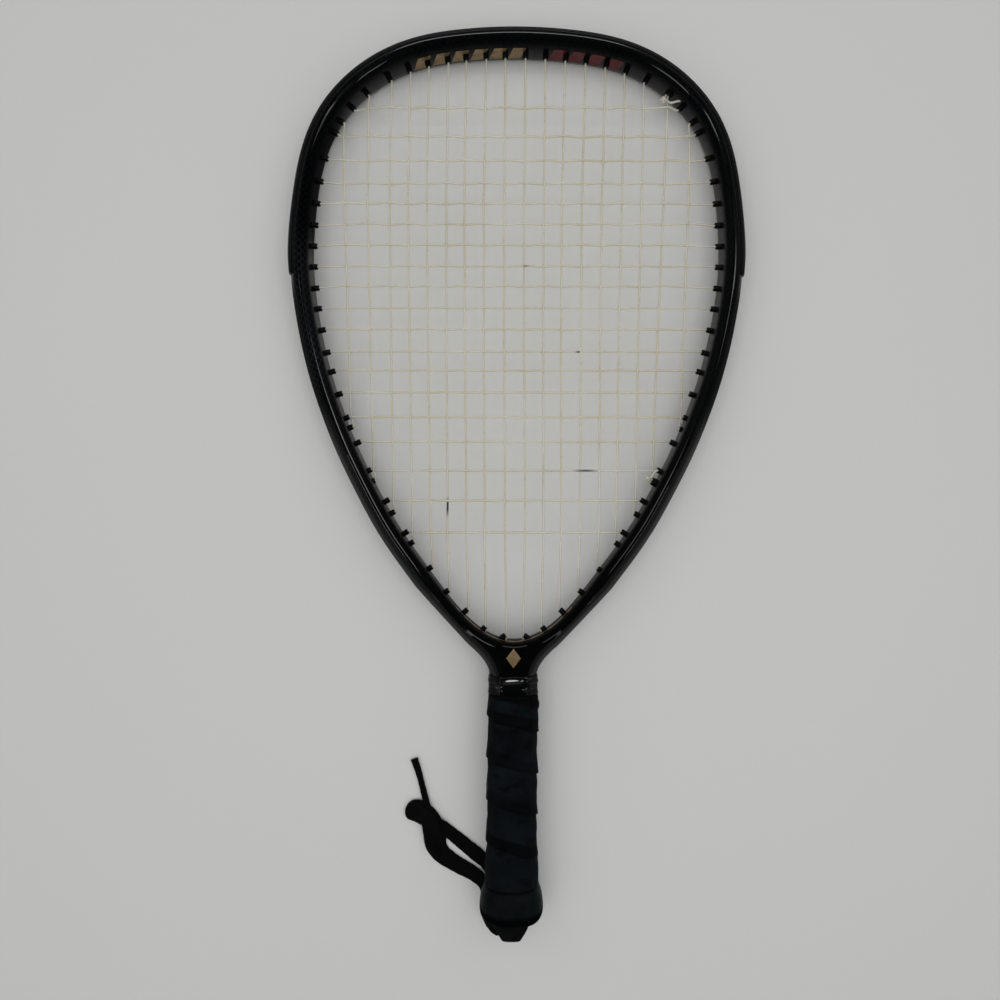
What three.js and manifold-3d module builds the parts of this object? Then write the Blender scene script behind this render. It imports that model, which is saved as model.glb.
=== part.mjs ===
// Racquetball racket: graphite frame, bumper guard and grommet strips, woven
// strings, pallets with a wrapped grip, butt cap and a webbing wrist lanyard.
//
// Millimetres. The racket is described in its own frame: string plane at
// z = 0, X across, +Y towards the head, and is then laid down on z = 0 so that
// it rests on the butt flare and on the rim of the head. The lanyard lies on
// z = 0 too and is described there.
import * as THREE from 'three';
import { mergeVertices } from 'three/addons/utils/BufferGeometryUtils.js';
import Module from 'manifold-3d';

const wasm = await Module();
wasm.setup();

// ---------------------------------------------------------------- dimensions
const HOOP_CENTRE_Y = 110;
// Inner wall of the hoop: radius about (0, HOOP_CENTRE_Y) as a cosine series of
// the angle from +Y, symmetric about the handle's line.
const HOOP_COS = [147.16, 7.48, 27.03, -11.9, 2.71, -6.44, 1.45, -2.21, 1.51,
  -0.81, 0.89, -0.65, 0.34, -0.37, 0.28, -0.07, 0.12];
const HOOP_STEP = 6; // degrees between the hoop's sections
const BEAM = 10.8; // radial thickness of the head, inner wall to outer shoulder
const BEAM_SIDE = 12.1; // the same at the sides, which are deeper
const GROOVE_FLOOR = -3.6; // floor of the string groove, from the outer shoulder
const GROOVE_HALF = 3.2;
// Sections: u outwards from the inner wall (or v from the outer shoulder), z.
const FRAME_SECTION = [[0, -8.3], [1, -9.7], [3, -10.8], [5.6, -11.3], [8.6, -9.6],
  [10.2, -6.6], [10.8, -3.2], [10.8, 3.2], [10.2, 6.6], [8.6, 9.6], [5.6, 11.3],
  [3, 10.8], [1, 9.7], [0, 8.3]];
const STRIP_SECTION = [[-3.3, -2.9], [-0.4, -2.9], [-0.4, -1.95], [-2.3, -1.95],
  [-2.3, 1.95], [-0.4, 1.95], [-0.4, 2.9], [-3.3, 2.9]];
const BUMPER_SECTION = [[-3.3, -2.9], [0.35, -2.9], [-0.22, -6.7], [-1.85, -9.8], [-2.5, -10.2],
  [-2.1, -10.9], [-1.0, -10.3], [0.4, -8.3], [1.2, -5.6], [1.4, -1.95], [-2.3, -1.95],
  [-2.3, 1.95], [1.4, 1.95], [1.2, 5.6], [0.4, 8.3], [-1.0, 10.3], [-2.1, 10.9],
  [-2.5, 10.2], [-1.85, 9.8], [-0.22, 6.7], [0.35, 2.9], [-3.3, 2.9]];
const BUMPER_ENDS = [-77.6, 77.2]; // hoop angles where the bumper guard stops
const BARREL_R = 1.85, BORE_R = 1.2, HOLE_R = 2.15; // hexagons, corner radius
const TIE_BARREL_R = 2.75, TIE_BORE_R = 2.05, TIE_HOLE_R = 3.1;
const BARREL_OUT = 3.7, BARREL_OUT_SLANT = 3.1, BARREL_OUT_TIE = 2.3; // how far barrels stand inside
const STRING_R = 0.74; // corner radius of the square that stands for a 1.3 mm string
const LANE = 1.15; // outside runs: mains on the +z side, crosses on the -z side
const STRING_V = -1.35; // outside runs, from the outer shoulder
const TRANSIT_V = -0.2; // the run that passes over the others
const WEAVE = 1.62; // height of a cross over or under a main

// The 18 mains, left to right: x where each crosses y = 0, how much x grows per
// mm of y (they fan out a little towards the head), y of each lower mouth.
const MAINS = [[-99.55, -0.0374, 44.9], [-87.12, -0.0276, 11.9], [-75.15, -0.0186, -7.3],
  [-63.72, -0.0189, -25.7], [-52.4, -0.0182, -41.1], [-41.86, -0.0092, -55.5],
  [-30.31, -0.0119, -67.3], [-18.99, -0.0079, -77.8], [-6.34, -0.0075, -83.1],
  [5.99, -0.0081, -83], [17.4, -0.0039, -77.6], [28.37, -0.0031, -66.9],
  [40.09, 0.0009, -55], [51.84, 0.0038, -41.4], [62.47, 0.013, -25.3],
  [74.15, 0.0154, -7.2], [84.02, 0.0355, 13.6], [100.47, 0.03, 45.1]];
// Strings bow near their ends: how far each main stands to the right at its top
// end, the height of that end, and how far its lower mouth stands to the right.
const TOP_SHIFT = [0.9, 2.1, 1.85, 2.3, 2.2, 1.25, 1.5, 1.5, 0.6, 0.9, 0.6, 1.8, 1.5, 1.3, 0.2, 0.1, 0, -0.9];
const TOP_Y = [234, 251, 260, 265, 268, 268, 268, 268, 268, 268, 268, 268, 268, 267, 265, 260, 251, 234];
const MOUTH_SHIFT = [0.7, 0.7, 0.7, 0.7, 0.6, 0.7, 0.6, 0.4, 0.3, -0.6, -0.5, -0.5, -0.4, -0.5, -0.3, -0.4, 0, -0.6];
const BEND_Y = [185, 92, 12];
const mainX = (i, y) => MAINS[i][0] + MAINS[i][1] * y
  + (TOP_SHIFT[i] / (TOP_Y[i] - BEND_Y[0])) * Math.max(0, y - BEND_Y[0])
  + 0.5 * Math.min(1, Math.max(0, (BEND_Y[1] - y) / (BEND_Y[1] - BEND_Y[2])));
// The 19 crosses: y of each, head to throat; they rise a little to the right,
// and their mouths stand a little higher or lower than the strings between.
const CROSS_Y = [242.8, 225.0, 210.2, 196.0, 183.7, 171.0, 158.1, 145.0, 132.6,
  119.2, 106.0, 92.2, 80.6, 67.0, 51.7, 36.5, 18.7, 0.2, -19.5];
const CROSS_END = [-1.4, 1.3, 0.8, 1.0, -0.3, -0.9, -0.9, -0.5, -1.1, -0.3, -0.2, -0.2, -0.3, -0.5, 0.2, 0.2, 0.8, 0.7, 0.9];
const crossY = (j, x) => CROSS_Y[j] - 0.28 + 0.007 * x;
// The two middle mains leave the throat sideways, to the outside of the neck.
const THROAT_AXIS = [0.78, -0.626];

// Outer edge of the throat and neck, right side (x, y).
const NECK = [[30.6, -85.3], [25.6, -90], [20.6, -95], [17.7, -98.6], [15.5, -102.4],
  [14.3, -106.2]];
const STRIP_LAST = 3; // grommet strips end at this point of NECK

// Handle stations along -Y.
const SHAFT = { w: 11.5, h: 8.2, c: 3, from: -108, to: -246 };
const BORE = { w: 9.9, h: 6.6, c: 2.4, from: -116, to: -248 };
const NECK_BAND = { w: 13.2, h: 10.5, c: 3.8, from: -104, to: -117.4 };
const PALLET = { w: 14.0, h: 12.2, c: 4.8, from: -118, to: -243.5 };
const TAPE = { w: 15.1, h: 12.5, c: 4.6, from: -106.6, to: -117.6 };
const GRIP = { w: 15.2, h: 13.3, c: 5, from: -117.9, to: -232.4, pitch: 25.4, ridge: 0.9 };
const CAP = [[-232.8, 16.4, 14.4], [-237, 17.3, 15.1], [-241.5, 18.7, 16.4],
  [-245.5, 19.4, 17.3], [-249, 19.6, 17.48], [-252, 19.1, 17.0], [-255.2, 17.2, 15.1],
  [-257.7, 13.4, 11.3]];
const LUG = { root: 10.5, tip: 5.0, from: -258.0, to: -269.5, in: 3.9, out: 6.2 };
const POST = { y: -265.2, r: 1.6 };

// How the racket lies: turned about X so that flare and head rim both touch.
const REST_TILT = THREE.MathUtils.degToRad(-0.667);
const LIFT = 14.583;
const SHIFT_Y = -9.66;

// Lanyard, on z = 0: route points (x, y, z), width and thickness there.
const POST_AT = [0, -274.87, 17.67];
const UPPER_STRAND = [
  [2.9, -274.65, 17.7, 5.6, 1.5], [2.85, -273.7, 17.7, 5.6, 1.5], [1.8, -272.3, 17.7, 5.6, 1.5], [-0.6, -271.9, 17.7, 5.6, 1.5],
  [-4, -272.2, 17.7, 5.4, 1.5], [-7.6, -272.4, 17.4, 4.6, 1.6], [-10.3, -272.4, 15.0, 3.8, 1.8],
  [-11.9, -272.2, 10.8, 3.4, 1.8], [-12.7, -271.2, 5.8, 3.4, 1.7], [-13.2, -268.6, 2.3, 3.6, 1.4], [-13.4, -264.2, 0.85, 3.6, 1.2],
  [-13.4, -258, 0.8, 3.6, 1.2], [-13.3, -252.6, 0.8, 4.0, 1.2], [-14.1, -246.9, 0.9, 5.6, 1.4],
  [-16.6, -241.4, 1.0, 7.6, 1.5], [-21.4, -236.7, 1.0, 8.4, 1.5], [-28.5, -230.9, 1.0, 8.4, 1.5],
  [-35, -225.6, 1.0, 8.2, 1.5], [-41.9, -220, 1.2, 8.2, 1.6]];
const LOWER_STRAND = [
  [2.9, -275.1, 17.7, 5.6, 1.5], [2.85, -276.1, 17.7, 5.6, 1.5], [1.8, -277.5, 17.7, 5.6, 1.5], [-0.6, -277.9, 17.7, 5.6, 1.5],
  [-4, -277.4, 17.7, 5.4, 1.5], [-7.8, -276.8, 17.4, 4.6, 1.6], [-11.2, -276.2, 15.2, 3.8, 1.8],
  [-14.1, -275.6, 10.8, 3.4, 1.9], [-16.0, -274.4, 5.9, 3.5, 1.9], [-17.0, -271.6, 2.5, 3.8, 1.6], [-17.3, -267.2, 1.15, 3.8, 1.4],
  [-17.3, -262.5, 1.3, 3.9, 1.3], [-17.2, -258.0, 2.1, 5.0, 1.3], [-18.3, -253.9, 2.25, 7.0, 1.3], [-20.9, -250.6, 1.8, 8.8, 1.4],
  [-25.5, -247.6, 1.1, 9.6, 1.5], [-31.6, -244.4, 1.0, 10.2, 1.5], [-38.4, -240.4, 1.0, 11.0, 1.5],
  [-44.2, -236.6, 1.2, 11.4, 1.8], [-47.6, -232.9, 1.4, 11.8, 1.8]];
const TAIL = [[-53.4, -204.6, 2.6, 4.4, 2.4], [-54.9, -200.4, 2.3, 4.0, 2.6],
  [-57.0, -192.5, 2.1, 3.9, 3.0], [-59.2, -184.2, 2.0, 4.0, 3.2], [-62.2, -175.3, 2.0, 4.6, 3.2]];
const KNOT_OUTLINE = [[-57.0, -207.6], [-53.4, -205.4], [-50.2, -206.4], [-47.0, -209.2],
  [-44.0, -212.8], [-42.6, -216.8], [-41.6, -222.4], [-41.2, -227.2], [-43.6, -228.8],
  [-52.4, -233.6], [-55.2, -230.2], [-56.4, -224.6], [-57.2, -217.6], [-57.3, -212]];
const SHORT_END_OUTLINE = [[-58.3, -202.2], [-61.2, -200.7], [-64.8, -201.0], [-67.4, -203.8],
  [-68.0, -207.4], [-66.8, -211.2], [-63.6, -213.9], [-60.8, -215.6], [-58.4, -216.8], [-58.2, -213], [-58.1, -208]];

// ------------------------------------------------------------------- helpers
const V = (x, y, z = 0) => new THREE.Vector3(x, y, z);

/** Closed triangle mesh from rings of equal length, capped unless it closes on itself. */
function loft(rings, { closed = false, capPlane = null } = {}) {
  const n = rings[0].length, m = rings.length, index = [];
  for (let i = 0; i < (closed ? m : m - 1); i++) {
    for (let j = 0; j < n; j++) {
      const a = i * n + j, b = i * n + (j + 1) % n;
      const c = ((i + 1) % m) * n + j, d = ((i + 1) % m) * n + (j + 1) % n;
      index.push(a, b, d, a, d, c);
    }
  }
  if (!closed) {
    const flat = (capPlane ?? rings[0].map((_, j) => {
      const a = (j / n) * Math.PI * 2;
      return [Math.cos(a), Math.sin(a)];
    })).map(([x, y]) => new THREE.Vector2(x, y));
    const sign = Math.sign(THREE.ShapeUtils.area(flat));
    for (const face of THREE.ShapeUtils.triangulateShape(flat, [])) {
      let [a, b, c] = face;
      const s = Math.sign(THREE.ShapeUtils.area([flat[a], flat[b], flat[c]]));
      if (s !== sign) [b, c] = [c, b];
      index.push(a, c, b);
      index.push((m - 1) * n + a, (m - 1) * n + b, (m - 1) * n + c);
    }
  }
  return solid(rings.flat(2), index);
}

/** A solid from positions and triangles, turned inside out if its volume is negative. */
function solid(positions, index) {
  let volume = 0;
  const p = (i) => V(positions[i * 3], positions[i * 3 + 1], positions[i * 3 + 2]);
  for (let i = 0; i < index.length; i += 3) {
    volume += p(index[i]).dot(p(index[i + 1]).cross(p(index[i + 2])));
  }
  const tris = new Uint32Array(index);
  if (volume < 0) for (let i = 0; i < tris.length; i += 3) [tris[i + 1], tris[i + 2]] = [tris[i + 2], tris[i + 1]];
  return new wasm.Manifold(new wasm.Mesh({ numProp: 3, vertProperties: new Float32Array(positions), triVerts: tris }));
}

/** A three.js geometry as a solid. */
function solidOf(geometry, matrix = null) {
  const g = geometry.clone();
  g.deleteAttribute('normal');
  g.deleteAttribute('uv');
  if (matrix) g.applyMatrix4(matrix);
  const merged = mergeVertices(g, 1e-4);
  return solid(Array.from(merged.attributes.position.array), Array.from(merged.index.array));
}

function geometryOf(manifold) {
  const mesh = manifold.getMesh();
  const g = new THREE.BufferGeometry();
  g.setAttribute('position', new THREE.BufferAttribute(new Float32Array(mesh.vertProperties), 3));
  g.setIndex(new THREE.BufferAttribute(new Uint32Array(mesh.triVerts), 1));
  g.computeVertexNormals();
  return g;
}

const union = (list) => list.reduce((a, b) => a.add(b));

/** Prism with `sides` corners along an axis in the string plane. */
function prism(start, axis, length, r, sides = 6) {
  const d = V(axis[0], axis[1]).normalize(), side = V(-d.y, d.x);
  const ring = (s) => Array.from({ length: sides }, (_, k) => {
    const a = ((k + (sides === 4 ? 0.5 : 0)) / sides) * Math.PI * 2;
    const p = V(start[0], start[1]).addScaledVector(d, s).addScaledVector(side, Math.cos(a) * r);
    return [p.x, p.y, Math.sin(a) * r];
  });
  return loft([ring(0), ring(length)]);
}

/** Corners of an octagon of half-width w, half-height h and corner cut c, at y. */
const octagon = (w, h, c, y) => [[w, h - c], [w - c, h], [c - w, h], [-w, h - c],
  [-w, c - h], [c - w, -h], [w - c, -h], [w, c - h]].map(([x, z]) => [x, y, z]);
const octagonBar = ({ w, h, c, from, to }, grow = 0) =>
  loft([octagon(w + grow, h + grow, c, from), octagon(w + grow, h + grow, c, to)]);

// ---------------------------------------------------------------- hoop curves
function hoop(t) {
  let r = 0, dr = 0;
  HOOP_COS.forEach((a, k) => { r += a * Math.cos(k * t); dr -= a * k * Math.sin(k * t); });
  const d = [Math.cos(t) * r + Math.sin(t) * dr, Math.cos(t) * dr - Math.sin(t) * r];
  const l = Math.hypot(...d);
  return { p: [Math.sin(t) * r, HOOP_CENTRE_Y + Math.cos(t) * r], n: [-d[1] / l, d[0] / l] };
}
/** Radial thickness of the frame at a hoop angle. */
function beam(t) {
  const deg = Math.abs(((THREE.MathUtils.radToDeg(t) + 540) % 360) - 180), k = Math.min(1, Math.max(0, (deg - 50) / 28));
  return BEAM + (BEAM_SIDE - BEAM) * k * k * (3 - 2 * k);
}
const offset = (t, u) => { const { p, n } = hoop(t); return [p[0] + n[0] * u, p[1] + n[1] * u]; };
const rad = THREE.MathUtils.degToRad;

const hoopSweep = (section) => loft(Array.from({ length: 360 / HOOP_STEP }, (_, i) => {
  const { p, n } = hoop(rad(i * HOOP_STEP)), k = beam(rad(i * HOOP_STEP)) / BEAM;
  return section.map(([u, z]) => [p[0] + n[0] * u * k, p[1] + n[1] * u * k, z]);
}), { closed: true });

const edgeEnd = 164 + (STRIP_LAST + 1) * 4;
// The outer edge as one open line, from the left side of the neck over the
// head to the right side of the neck; `at` is the hoop angle, or runs on past it.
const edge = [];
for (let i = STRIP_LAST; i >= 0; i--) edge.push({ at: -164 - (i + 1) * 4, p: [-NECK[i][0], NECK[i][1]] });
for (let a = -162; a <= 162; a += HOOP_STEP) edge.push({ at: a, p: offset(rad(a), beam(rad(a))) });
for (let i = 0; i <= STRIP_LAST; i++) edge.push({ at: 164 + (i + 1) * 4, p: NECK[i] });
edge.forEach((e, i) => {
  const a = edge[Math.max(0, i - 1)].p, b = edge[Math.min(edge.length - 1, i + 1)].p;
  const l = Math.hypot(b[0] - a[0], b[1] - a[1]);
  e.n = [-(b[1] - a[1]) / l, (b[0] - a[0]) / l];
});
function edgeAt(at, v = 0) {
  let i = edge.findIndex((e) => e.at >= at);
  if (i <= 0) i = i === 0 ? 1 : edge.length - 1;
  const a = edge[i - 1], b = edge[i], k = (at - a.at) / (b.at - a.at);
  const mix = (u, w) => u + (w - u) * k;
  const n = [mix(a.n[0], b.n[0]), mix(a.n[1], b.n[1])], l = Math.hypot(...n);
  return [mix(a.p[0], b.p[0]) + (n[0] / l) * v, mix(a.p[1], b.p[1]) + (n[1] / l) * v];
}
/** Sweeps a (v, z) section along the outer edge between two places. */
function edgeSweep(section, from, to) {
  const stops = [from, ...edge.map((e) => e.at).filter((at) => at > from + 1.5 && at < to - 1.5), to];
  return loft(stops.map((at) => section.map(([v, z]) => [...edgeAt(at, v), z])), { capPlane: section });
}

// -------------------------------------------------------------- grommet holes
/** Finds the hoop angle whose mouth, `out` inside the wall, meets a condition. */
function findMouth(test, from, to, out) {
  const f = (t) => test(offset(t, -out), hoop(t).n);
  let a = rad(from), fa = f(a);
  for (let s = from + 0.5; s <= to + 1e-9; s += 0.5) {
    let b = rad(s);
    if (fa * f(b) <= 0) {
      for (let k = 0; k < 40; k++) { const c = (a + b) / 2; if (fa * f(c) <= 0) b = c; else { a = c; fa = f(a); } }
      return (a + b) / 2;
    }
    a = b; fa = f(a);
  }
  throw new Error('no place for a hole');
}
const TIE = 0.9; // two strings share a tie hole, this far either side of its axis
const tieShift = (i, top) => (i === 16 ? (top ? -TIE : TIE) : 0);
const holes = {};
/** A hole from its inner mouth along d to the outer edge. */
function addHole(name, mouth, d, at, tie = false) {
  const hole = { name, mouth, d, at, tie, length: 0 };
  if (Math.abs(at) < 158) {
    const e = offset(rad(at), beam(rad(at)));
    hole.length = (e[0] - mouth[0]) * d[0] + (e[1] - mouth[1]) * d[1];
  } else { // by the throat the outer edge leaves the hoop
    let miss = Infinity;
    for (let s = 150; s < 180; s += 0.02) {
      const q = edgeAt(Math.sign(at) * s), k = [q[0] - mouth[0], q[1] - mouth[1]];
      const off = Math.abs(k[0] * d[1] - k[1] * d[0]), along = k[0] * d[0] + k[1] * d[1];
      if (off < miss && along > 0) { miss = off; hole.at = Math.sign(at) * s; hole.length = along; }
    }
  }
  holes[name] = hole;
}
const squareHole = (name, t, out, tie) => {
  const { n } = hoop(t);
  addHole(name, offset(t, -out), n, THREE.MathUtils.radToDeg(t), tie);
};
MAINS.forEach((_, i) => {
  const out = i === 16 ? BARREL_OUT_TIE : i < 2 || i > 15 ? BARREL_OUT_SLANT : BARREL_OUT, shift = tieShift(i, true);
  const miss = (m, n) => m[0] - n[1] * shift - mainX(i, m[1] + n[0] * shift);
  squareHole(`M${i + 1}T`, findMouth(miss, -52, 52, out), out, i === 16);
});
MAINS.forEach(([, , y], i) => {
  const side = i < 9 ? -1 : 1, shift = tieShift(i, false);
  const p = [mainX(i, y) + MOUTH_SHIFT[i], y];
  if (i === 8 || i === 9) return addHole(`M${i + 1}B`, p, [side * THROAT_AXIS[0], THROAT_AXIS[1]], side * 175);
  let best = null; // the wall's nearest place
  for (let a = 100; a < 179; a += 0.02) {
    const t = rad(side * a), w = hoop(t), gap = Math.hypot(w.p[0] - p[0], w.p[1] - p[1]);
    if (!best || gap < best.gap) best = { gap, t, n: w.n };
  }
  const { t, n } = best;
  addHole(`M${i + 1}B`, [p[0] + n[1] * shift, p[1] - n[0] * shift], n, THREE.MathUtils.radToDeg(t), i === 16);
});
const mainLine = (i) => [holes[`M${i + 1}T`], holes[`M${i + 1}B`]].map((h, k) => {
  const shift = tieShift(i, k === 0);
  return [h.mouth[0] - h.d[1] * shift, h.mouth[1] + h.d[0] * shift];
});
// Corners of each main, from its upper end to its lower end.
const lines = MAINS.map((_, i) => {
  const [a, b] = mainLine(i);
  return [a, ...BEND_Y.filter((y) => y < a[1] - 4 && y > b[1] + 4).map((y) => [mainX(i, y), y]), b];
});
const toMain = (q) => Math.min(...lines.flatMap((line) => line.slice(1).map((b, k) => {
  const a = line[k], l = [b[0] - a[0], b[1] - a[1]];
  const c = Math.min(1, Math.max(0, ((q[0] - a[0]) * l[0] + (q[1] - a[1]) * l[1]) / (l[0] ** 2 + l[1] ** 2)));
  return Math.hypot(q[0] - a[0] - l[0] * c, q[1] - a[1] - l[1] * c);
})));
CROSS_Y.forEach((_, j) => {
  for (const [side, from, to] of [['L', -165, -25], ['R', 25, 165]]) {
    // a barrel that would reach a main is cut short of it
    for (let out = BARREL_OUT; out > 0.3; out -= 0.2) {
      const t = findMouth((q) => q[1] - crossY(j, q[0]) - CROSS_END[j], from, to, out), m = offset(t, -out), { n } = hoop(t);
      const corner = (k) => [m[0] - n[1] * k * BARREL_R, m[1] + n[0] * k * BARREL_R];
      if (out > 0.6 && (toMain(m) < 1.75 || toMain(corner(1)) < 0.9 || toMain(corner(-1)) < 0.9)) continue;
      squareHole(`C${j + 1}${side}`, t, out, false);
      break;
    }
  }
});

// ---------------------------------------------------------------------- frame
const neckOutline = [];
for (let a = 196; a >= 164; a -= 4) neckOutline.push(offset(rad(a), 5)); // along the middle of the throat's tube, left to right
neckOutline.push(...NECK, ...NECK.slice().reverse().map(([x, y]) => [-x, y]));
/** Outline moved inwards by d, each corner along its mitre. */
function inset(outline, d) {
  const sign = Math.sign(THREE.ShapeUtils.area(outline.map(([x, y]) => new THREE.Vector2(x, y))));
  return outline.map((q, i) => {
    const a = outline.at(i - 1), b = outline[(i + 1) % outline.length];
    const n1 = V(-(q[1] - a[1]), q[0] - a[0]).normalize(), n2 = V(-(b[1] - q[1]), b[0] - q[0]).normalize();
    const m = n1.clone().add(n2).normalize();
    const k = (sign * d) / Math.max(0.5, m.dot(n1));
    return [q[0] + m.x * k, q[1] + m.y * k];
  });
}
const layer = (outline, z) => outline.map(([x, y]) => [x, y, z]);
const neckIn = inset(neckOutline, 1.6);
const neck = loft([layer(neckIn, -11.05), layer(neckOutline, -8.7), layer(neckOutline, 8.7), layer(neckIn, 11.05)], { capPlane: neckOutline });
let frame = hoopSweep(FRAME_SECTION)
  .add(neck)
  .add(octagonBar(NECK_BAND))
  .add(octagonBar(SHAFT));
frame = frame.subtract(edgeSweep([[GROOVE_FLOOR, -GROOVE_HALF], [3, -GROOVE_HALF], [3, GROOVE_HALF], [GROOVE_FLOOR, GROOVE_HALF]],
  -edgeEnd + 0.25, edgeEnd - 0.25));
frame = frame.subtract(octagonBar(BORE));
for (const h of Object.values(holes)) {
  frame = frame.subtract(prism(h.mouth, h.d, h.length + 0.4, h.tie ? TIE_HOLE_R : HOLE_R));
}

// ------------------------------------------------- bumper guard, grommet strips
function strip(section, from, to) {
  let body = edgeSweep(section, from, to);
  const mine = Object.values(holes).filter((h) => h.at > from && h.at < to);
  for (const h of mine) body = body.add(prism(h.mouth, h.d, h.length - 3, h.tie ? TIE_BARREL_R : BARREL_R));
  for (const h of mine) {
    body = body.subtract(prism([h.mouth[0] - h.d[0], h.mouth[1] - h.d[1]], h.d, h.length, h.tie ? TIE_BORE_R : BORE_R, h.tie ? 6 : 4));
  }
  return body;
}
const bumper = strip(BUMPER_SECTION, BUMPER_ENDS[0], BUMPER_ENDS[1]);
const stripLeft = strip(STRIP_SECTION, -edgeEnd + 0.6, BUMPER_ENDS[0] - 0.4);
const stripRight = strip(STRIP_SECTION, BUMPER_ENDS[1] + 0.4, edgeEnd - 0.6);

// --------------------------------------------------------------------- strings
/** Square tube along a polyline, its section kept level with z. */
function stringTube(points, r = STRING_R) {
  const pts = points.map(([x, y, z]) => V(x, y, z));
  const rings = pts.map((p, i) => {
    const a = pts[Math.max(0, i - 1)], b = pts[Math.min(pts.length - 1, i + 1)];
    const t1 = V(0, 0).subVectors(p, a).normalize(), t2 = V(0, 0).subVectors(b, p).normalize();
    const t = i === 0 ? t2 : i === pts.length - 1 ? t1 : V(0, 0).addVectors(t1, t2).normalize();
    const side = V(0, 0, 1).cross(t);
    if (side.length() < 0.2) side.set(1, 0, 0);
    side.normalize();
    const up = t.clone().cross(side).normalize();
    return [[1, 0], [0, 1], [-1, 0], [0, -1]].map(([u, v]) => {
      const q = p.clone().addScaledVector(side, (u + v) * r * 0.7071).addScaledVector(up, (v - u) * r * 0.7071);
      return [q.x, q.y, q.z];
    });
  });
  return loft(rings);
}
/** Points from the mouth of a hole outwards into the groove, on the given lane. */
function leave(h, lane, shift = 0, rise = 0) {
  const side = [-h.d[1], h.d[0]];
  const at = (s, z) => [h.mouth[0] + h.d[0] * s + side[0] * shift, h.mouth[1] + h.d[1] * s + side[1] * shift, z];
  return [at(-0.4, rise), at(h.length - 2.3, 0), at(h.length + STRING_V, lane)];
}
/** Points along the groove between two holes, with every corner of the edge. */
function run(a, b, lane, v = STRING_V) {
  const gap = b.at - a.at, from = a.at + gap * 0.14, to = b.at - gap * 0.14, lo = Math.min(from, to) + 0.7, hi = Math.max(from, to) - 0.7;
  const corners = edge.map((e) => e.at).filter((at) => at > lo && at < hi);
  if (gap < 0) corners.reverse();
  return [from, ...corners, to].map((at) => [...edgeAt(at, v), lane]);
}
const mains = [];
// The tie at the lower end of main 17 holds the end of main 18.
const knotAt = (h, shift, s) => {
  const side = [-h.d[1], h.d[0]];
  return [h.mouth[0] - h.d[0] * s + side[0] * shift, h.mouth[1] - h.d[1] * s + side[1] * shift];
};
const m17b = holes.M17B, m17t = holes.M17T;
mains.push([...knotAt(m17b, -TIE, 1.2), 0], ...leave(m17b, LANE, -TIE), ...run(m17b, holes.M18B, LANE));
for (let i = 18; i >= 1; i--) {
  const up = i % 2 === 0; // even mains run from throat to head
  const a = holes[`M${i}${up ? 'B' : 'T'}`], b = holes[`M${i}${up ? 'T' : 'B'}`];
  const sa = a.tie ? TIE : 0, sb = b.tie ? TIE : 0;
  const inTie = (h, s) => (h === m17t ? -s : s);
  const between = lines[i - 1].slice(1, -1).map(([x, y]) => [x, y, 0]);
  if (up) between.reverse();
  mains.push(...leave(a, LANE, inTie(a, sa)).reverse(), ...between, ...leave(b, LANE, inTie(b, sb)));
  if (i > 1) mains.push(...run(b, holes[`M${i - 1}${up ? 'T' : 'B'}`], LANE));
}
mains.pop(); // the last main stops inside its hole; the same string goes on as the crosses
let mainString = stringTube(mains);
// knot round main 17 above its lower grommet
const mouth17 = { b: knotAt(m17b, 0, 2.6), t: knotAt(m17t, 0, 2.8) };
mainString = mainString.add(solidOf(new THREE.SphereGeometry(2.3, 8, 6), new THREE.Matrix4().makeTranslation(mouth17.b[0], mouth17.b[1], 0)));

/** Crossing points of cross j with the mains, left to right. */
function crossings(j) {
  const list = [];
  lines.forEach((line, i) => {
    let x = 0, y = CROSS_Y[j - 1];
    for (let k = 0; k < 3; k++) { x = mainX(i, y); y = crossY(j - 1, x); }
    if (y > line[0][1] - 1.2 || y < line.at(-1)[1] + 1.2) return;
    list.push([x, y, (i + j) % 2 ? WEAVE : -WEAVE]);
  });
  return list;
}
const crosses = [];
const m1b = holes.M1B;
{
  const out = leave(m1b, 0);
  crosses.push([out[1][0] + m1b.d[0] * 0.4, out[1][1] + m1b.d[1] * 0.4, 0]);
  crosses.push([...edgeAt(m1b.at, TRANSIT_V), 0]);
  for (let a = m1b.at - 5; a > holes.C19L.at + 3; a -= 7) crosses.push([...edgeAt(a, TRANSIT_V), 0]);
}
for (let j = 19; j >= 1; j--) {
  const right = j % 2 === 1; // odd crosses run left to right
  const a = holes[`C${j}${right ? 'L' : 'R'}`], b = holes[`C${j}${right ? 'R' : 'L'}`];
  const mid = right ? crossings(j) : crossings(j).reverse();
  const rise = (q) => Math.sign(q[2]) * 0.3; // the string leans towards its first crossing
  const first = leave(a, -LANE, 0, rise(mid[0])).reverse();
  if (j === 19) first[0][2] = 0;
  crosses.push(...first, ...mid, ...leave(b, -LANE, 0, rise(mid.at(-1))));
  if (j > 1) crosses.push(...run(b, holes[`C${j - 1}${right ? 'R' : 'L'}`], -LANE));
}
crosses.push(...run(holes.C1R, m17t, -LANE));
crosses.push(...leave(m17t, -LANE, TIE).reverse(), [...knotAt(m17t, TIE, 1.2), 0]);
let crossString = stringTube(crosses);
// knot round main 17 below its upper grommet, clear of the main itself
crossString = crossString.add(solidOf(new THREE.SphereGeometry(2.6, 8, 6), new THREE.Matrix4().makeTranslation(mouth17.t[0], mouth17.t[1], 0)));
crossString = crossString.subtract(stringTube([leave(m17t, LANE, -TIE)[1], leave(m17t, LANE, -TIE)[0], ...lines[16].slice(1).map(([x, y]) => [x, y, 0])], STRING_R + 0.45));

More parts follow.
